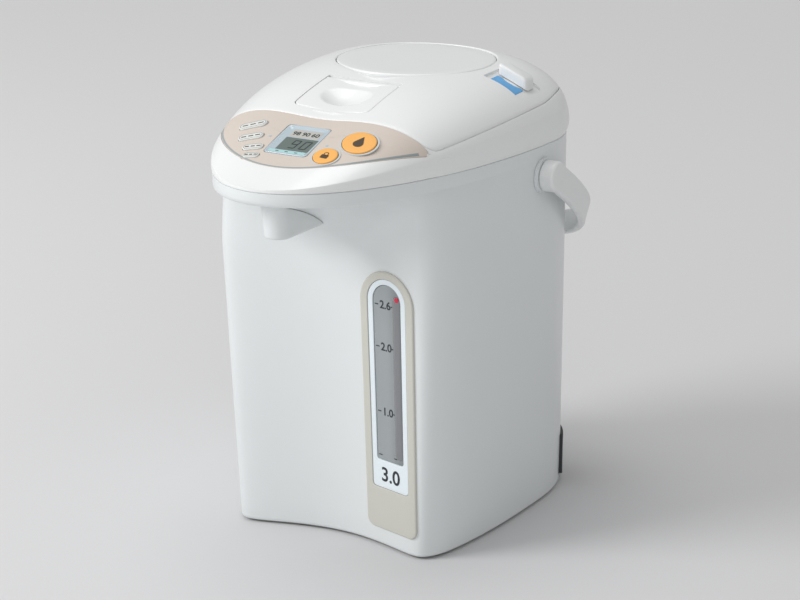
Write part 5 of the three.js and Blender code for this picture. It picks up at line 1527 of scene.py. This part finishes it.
class GaugeFace:
    """Lays outlines on the body's bowed front face."""

    def __init__(self):
        self.head, self.body = sizes("pot_head"), sizes("pot_body")

    def lay(self, outline, proud):
        return [(x, face_y(self.head, self.body, x, z) - proud, z) for x, z in outline]

    def band(self, outer, inner, proud, outer_edge, inner_edge):
        """A flat ring between two outlines with rounded edges."""
        base = 0.06 * MM
        rings = [self.lay(outer, base)]
        for i in range(5):
            turn = math.pi / 2 * i / 4
            rings.append(self.lay(
                inset(outer, outer_edge * (1 - math.cos(turn))), proud - outer_edge * (1 - math.sin(turn))
            ))
        start, end = inset(outer, outer_edge), inset(inner, -inner_edge)
        for i in range(1, 8):
            ring = [(mix(a[0], b[0], i / 8), mix(a[1], b[1], i / 8)) for a, b in zip(start, end)]
            rings.append(self.lay(ring, proud))
        for i in range(5):
            turn = math.pi / 2 * i / 4
            rings.append(self.lay(
                inset(inner, -inner_edge * (1 - math.sin(turn))), proud - inner_edge * (1 - math.cos(turn))
            ))
        rings.append(self.lay(inner, base))
        return skin(rings, closed=True)

    def pad(self, outline, centre, low, high, edge_in, edge_up):
        """A pad on the face with rounded edges."""
        parts = [1 - (i + 0.5) / 12 for i in range(12)]
        rings = [self.lay(shrunk(outline, centre, part), low) for part in reversed(parts)]
        rings.append(self.lay(outline, low))
        for i in range(6):
            turn = math.pi / 2 * i / 5
            rings.append(self.lay(
                inset(outline, edge_in * (1 - math.cos(turn))), high - edge_up * (1 - math.sin(turn))
            ))
        top = inset(outline, edge_in)
        rings += [self.lay(shrunk(top, centre, part), high) for part in parts]
        return skin(rings)

    def print_on(self, text, size, x, z, proud):
        """Text laid on the face."""
        spot = Matrix.Translation((x, 0, z)) @ Matrix.Rotation(math.pi / 2, 4, "X")
        bm = lettering(text, size, spot)
        for vert in bm.verts:
            vert.co.y += face_y(self.head, self.body, vert.co.x, vert.co.z) - proud
        return bm

    def line_on(self, x, z, half, thick, proud):
        outline = rounded_box(x - half, x + half, z - thick / 2, z + thick / 2, thick / 3, 3)
        return skin([self.lay(outline, proud - 0.1 * MM), self.lay(outline, proud + 0.06 * MM)])


class POT_OT_gauge(bpy.types.Operator):
    """Makes the level gauge: frame, scale plate, window, water column, marks and numerals"""
    bl_idname = "pot.gauge"
    bl_label = "Level gauge"

    def execute(self, context):
        gauge, face = sizes("pot_gauge"), GaugeFace()
        outer = gauge_plan(gauge, gauge.frame_half_width, gauge.frame_low_z, gauge.frame_high_z, 6 * MM)
        plate = gauge_plan(gauge, gauge.plate_half_width, gauge.plate_low_z, gauge.plate_high_z)
        window = gauge_plan(gauge, gauge.window_half_width, gauge.window_low_z, gauge.window_high_z, 2 * MM)
        rim = tool(face.band(outer, plate, 1.6 * MM, 1.1 * MM, 0.5 * MM))
        made("gauge_rim", rim, finishes()["frame"], ["gauge_frame"], sharp=45)
        board = tool(face.band(inset(plate, 0.3 * MM), window, 1.1 * MM, 0.3 * MM, 0.5 * MM))
        made("gauge_board", board, finishes()["scale"], ["scale_plate"], sharp=45)
        middle = (gauge.centre_x, (gauge.window_low_z + gauge.window_high_z) / 2)
        pane = tool(face.pad(inset(window, 0.3 * MM), middle, -1.4 * MM, 0.35 * MM, 0.2 * MM, 0.2 * MM))
        made("gauge_pane", pane, finishes()["window"], ["gauge_window"], sharp=45)
        half = gauge.tube_half
        strip = rounded_box(
            gauge.tube_x - half, gauge.tube_x + half, gauge.window_low_z + 3 * MM, gauge.window_high_z - 6.5 * MM, half * 0.9
        )
        spine = (gauge.tube_x, (gauge.window_low_z + gauge.window_high_z) / 2)
        tube = tool(face.pad(strip, spine, 0.1 * MM, 0.95 * MM, half * 0.8, 0.7 * MM))
        made("level_column", tube, finishes()["column"], sharp=45)
        self.marks(gauge, face)
        float_plan = [(gauge.tube_x + 0.6 * MM + x, 178.4 * MM + z) for x, z in circle(1.9 * MM, count=32)]
        bead = tool(face.pad(float_plan, (gauge.tube_x + 0.6 * MM, 178.4 * MM), 0.5 * MM, 1.25 * MM, 1.2 * MM, 0.6 * MM))
        made("level_bead", bead, finishes()["red"])
        dress("column", "level_tube")
        dress("silicone", "spout_pipe", "outlet_pipe")
        return {"FINISHED"}

    def marks(self, gauge, face):
        ink, rise = [], 0.42 * MM
        for text, z in (("2.6", 172.8), ("2.0", 143.8), ("1.0", 98.5)):
            ink.append(face.print_on(text, 7.6 * MM, 44.9 * MM, z * MM, rise))
            ink.append(face.line_on(37.6 * MM, z * MM, 1.5 * MM, 0.7 * MM, rise - 0.02 * MM))
            ink.append(face.line_on(50.9 * MM, z * MM, 1.3 * MM, 0.7 * MM, rise - 0.02 * MM))
        ink.append(face.line_on(37.6 * MM, 67.5 * MM, 1.5 * MM, 0.7 * MM, rise - 0.02 * MM))
        ink.append(face.line_on(50.9 * MM, 67.5 * MM, 1.3 * MM, 0.7 * MM, rise - 0.02 * MM))
        made("scale_marks", gathered(ink), finishes()["ink"], sharp=60)
        size = face.print_on("3.0", 14 * MM, gauge.centre_x, 53.6 * MM, 1.2 * MM)
        made("size_numeral", gathered([size]), finishes()["ink"], sharp=60)


class POT_OT_spout(bpy.types.Operator):
    """Makes the spout that comes out of the cove under the head"""
    bl_idname = "pot.spout"
    bl_label = "Spout"

    def execute(self, context):
        head, body, spout = sizes("pot_head"), sizes("pot_body"), sizes("pot_spout")
        rings = []
        for i in range(5):
            turn = math.pi / 2 * i / 4
            trim = spout.edge * (1 - math.sin(turn))
            rings.append(self.ring(spout, spout.low_z + spout.edge * (1 - math.cos(turn)), trim))
        rings += [self.ring(spout, mix(spout.low_z + spout.edge, spout.high_z, i / 12), 0) for i in range(1, 13)]
        nose = tool(skin(rings))
        grown = body_rings(head, body, head.gap, -head.gap, body.base_z)
        grown.append(body_ring(head, body, 262.5 * MM, 1, head.gap, 4))
        bore = rod(spout.mouth, (0, spout.bore_y, 210 * MM), (0, spout.bore_y, 240 * MM), 48)
        combined(nose, [skin(grown), bore])
        made("spout_nose", nose, finishes()["body"], ["spout_nozzle"], sharp=40)
        return {"FINISHED"}

    def ring(self, spout, z, trim):
        """One level of the spout: a half round nose with straight sides."""
        part = (z - spout.low_z) / (spout.high_z - spout.low_z)
        nose_y = mix(spout.low_nose_y, spout.high_nose_y, part) + trim
        half = spout.half_width - trim
        centre = nose_y + half
        points = [
            (half * math.cos(a), centre + half * math.sin(a), z)
            for a in (-math.pi + math.pi * i / 40 for i in range(41))
        ]
        return points + [(half, spout.back_y, z), (-half, spout.back_y, z)]


class POT_OT_bail(bpy.types.Operator):
    """Makes the carrying bail with its round hubs"""
    bl_idname = "pot.bail"
    bl_label = "Carrying bail"

    def execute(self, context):
        bail = sizes("pot_bail")
        steps = 110
        strap = tool(skin([self.section(bail, math.pi * i / steps) for i in range(steps + 1)]))
        hubs = []
        for side in (-1, 1):
            profile = [(0, bail.hub_in), (bail.hub_radius - 0.5 * MM, bail.hub_in)]
            profile.append((bail.hub_radius, bail.hub_in + 0.5 * MM))
            for i in range(7):
                turn = math.pi / 2 * i / 6
                profile.append((
                    bail.hub_radius - bail.hub_edge * (1 - math.cos(turn)),
                    bail.hub_out - bail.hub_edge * (1 - math.sin(turn)),
                ))
            profile.append((0, bail.hub_out))
            hubs.append(spun(profile, 72, (side, 0, 0), (0, 0, bail.pivot_z)))
        combined(strap, hubs, "UNION")
        bores = [
            rod(bail.stub, (side * 95 * MM, 0, bail.pivot_z), (side * bail.bore_end, 0, bail.pivot_z)) for side in (-1, 1)
        ]
        combined(strap, bores)
        made("bail_strap", strap, finishes()["bail"], ["handle_bail"], "bail", sharp=40)
        return {"FINISHED"}

    def section(self, bail, angle):
        """The strap's cross-section at one place of its run."""
        c, s = math.cos(angle), max(0, math.sin(angle))
        power = bail.square
        stretch = (abs(c) ** power + s ** power) ** (-1 / power)
        along = Vector((0, math.cos(bail.tilt), math.sin(bail.tilt)))
        up = Vector((0, -along.z, along.y))
        slope = Vector((
            math.copysign(abs(c) ** (power - 1), c) / bail.half_width, s ** (power - 1) / bail.length
        )).normalized()
        middle = Vector((bail.half_width * stretch * c, 0, bail.pivot_z)) + along * (bail.length * stretch * s)
        out = Vector((slope.x, 0, 0)) + along * slope.y
        tall = bail.height / 2 * (1 + 0.1 * c * c)
        outline = rounded_box(-bail.thick / 2, bail.thick / 2, -tall, tall, bail.edge, 6)
        return [middle + out * u + up * v for u, v in outline]


class POT_OT_inside(bpy.types.Operator):
    """Finishes the vessel, the pump and the other inner pieces"""
    bl_idname = "pot.inside"
    bl_label = "Inner pieces"

    def execute(self, context):
        dress("steel", "inner_vessel")
        dress("dull_steel", "heater_ring", "pump_motor")
        dress("foam", "insulation_sleeve")
        dress("inner", "pump_housing")
        dress("black", "pump_impeller")
        dress("board", "power_board")
        return {"FINISHED"}


class POT_OT_stage(bpy.types.Operator):
    """Lays a pale floor, sets the soft lights and places the camera at the photograph's angle"""
    bl_idname = "pot.stage"
    bl_label = "Floor, lights and camera"

    def execute(self, context):
        scene = context.scene
        bm = bmesh.new()
        bmesh.ops.create_grid(bm, x_segments=1, y_segments=1, size=6)
        mesh = bpy.data.meshes.new("floor")
        bm.to_mesh(mesh)
        bm.free()
        floor = bpy.data.objects.new("floor", mesh)
        scene.collection.objects.link(floor)
        material, tree, shader = surface("paper_matt_white", {"Roughness": 0.9, "Specular IOR Level": 0.1})
        place = node(tree, "ShaderNodeTexCoord")
        reach = node(tree, "ShaderNodeVectorMath", {"operation": "LENGTH"}, {"Vector": place.outputs["Object"]})
        far = node(tree, "ShaderNodeMapRange", {"From Min": 0.3, "From Max": 2.2}, {"Value": reach.outputs["Value"]})
        ramp = node(tree, "ShaderNodeValToRGB", links={"Fac": far.outputs["Result"]})
        ramp.color_ramp.elements[0].color = linear("#d6d6d7")
        ramp.color_ramp.elements[1].color = linear("#fdfdfd")
        tree.links.new(ramp.outputs["Color"], shader.inputs["Base Color"])
        mesh.materials.append(material)
        world = scene.world or bpy.data.worlds.new("world")
        scene.world = world
        world.use_nodes = True
        world.node_tree.nodes["Background"].inputs["Color"].default_value = (1, 1, 1, 1)
        world.node_tree.nodes["Background"].inputs["Strength"].default_value = 0.45
        self.light("key", (-1.5, -1.7, 1.5), 1.2, 37)
        self.light("top", (-0.3, 0.0, 2.1), 1.4, 11)
        self.light("side", (1.2, -2.2, 0.8), 1.0, 6)
        scene.view_settings.view_transform = "Standard"
        camera = bpy.data.cameras.new("camera")
        camera.lens = 110.1
        camera.sensor_width = 36
        view = bpy.data.objects.new("camera", camera)
        back = Vector((0.48602, -0.82406, 0.29104))
        view.location = Vector((-9.55, 36.28, 139.08)) * MM + back * 1.7028
        view.rotation_euler = (-back).to_track_quat("-Z", "Y").to_euler()
        scene.collection.objects.link(view)
        scene.camera = view
        return {"FINISHED"}

    def light(self, name, place, size, power):
        data = bpy.data.lights.new(name, "AREA")
        data.shape = "DISK"
        data.size = size
        data.energy = power
        lamp = bpy.data.objects.new(name, data)
        lamp.location = place
        lamp.rotation_euler = (Vector((0, 0, 0.15)) - Vector(place)).to_track_quat("-Z", "Y").to_euler()
        bpy.context.scene.collection.objects.link(lamp)


OPERATORS = (
    POT_OT_stage,
    POT_OT_jacket,
    POT_OT_shoulder,
    POT_OT_lid,
    POT_OT_lever,
    POT_OT_plate,
    POT_OT_lock,
    POT_OT_panel,
    POT_OT_keys,
    POT_OT_screen,
    POT_OT_gauge,
    POT_OT_spout,
    POT_OT_bail,
    POT_OT_inside,
)


class POT_PT_build(bpy.types.Panel):
    """Lists the steps that dress the thermo pot"""
    bl_idname = "POT_PT_build"
    bl_label = "Thermo pot"
    bl_space_type = "VIEW_3D"
    bl_region_type = "UI"
    bl_category = "Thermo pot"

    def draw(self, context):
        for operator in OPERATORS:
            self.layout.operator(operator.bl_idname)
        for name, group in GROUPS.items():
            box = self.layout.box()
            box.label(text=group.__name__)
            for key in group.__annotations__:
                box.prop(getattr(context.scene, name), key)


CLASSES = (*GROUPS.values(), *OPERATORS, POT_PT_build)


def register():
    for cls in CLASSES:
        bpy.utils.register_class(cls)
    for name, group in GROUPS.items():
        setattr(bpy.types.Scene, name, bpy.props.PointerProperty(type=group))


def unregister():
    for name in GROUPS:
        delattr(bpy.types.Scene, name)
    for cls in reversed(CLASSES):
        bpy.utils.unregister_class(cls)


def main():
    register()
    for operator in OPERATORS:
        space, call = operator.bl_idname.split(".")
        getattr(getattr(bpy.ops, space), call)()


if __name__ == "__main__":
    main()
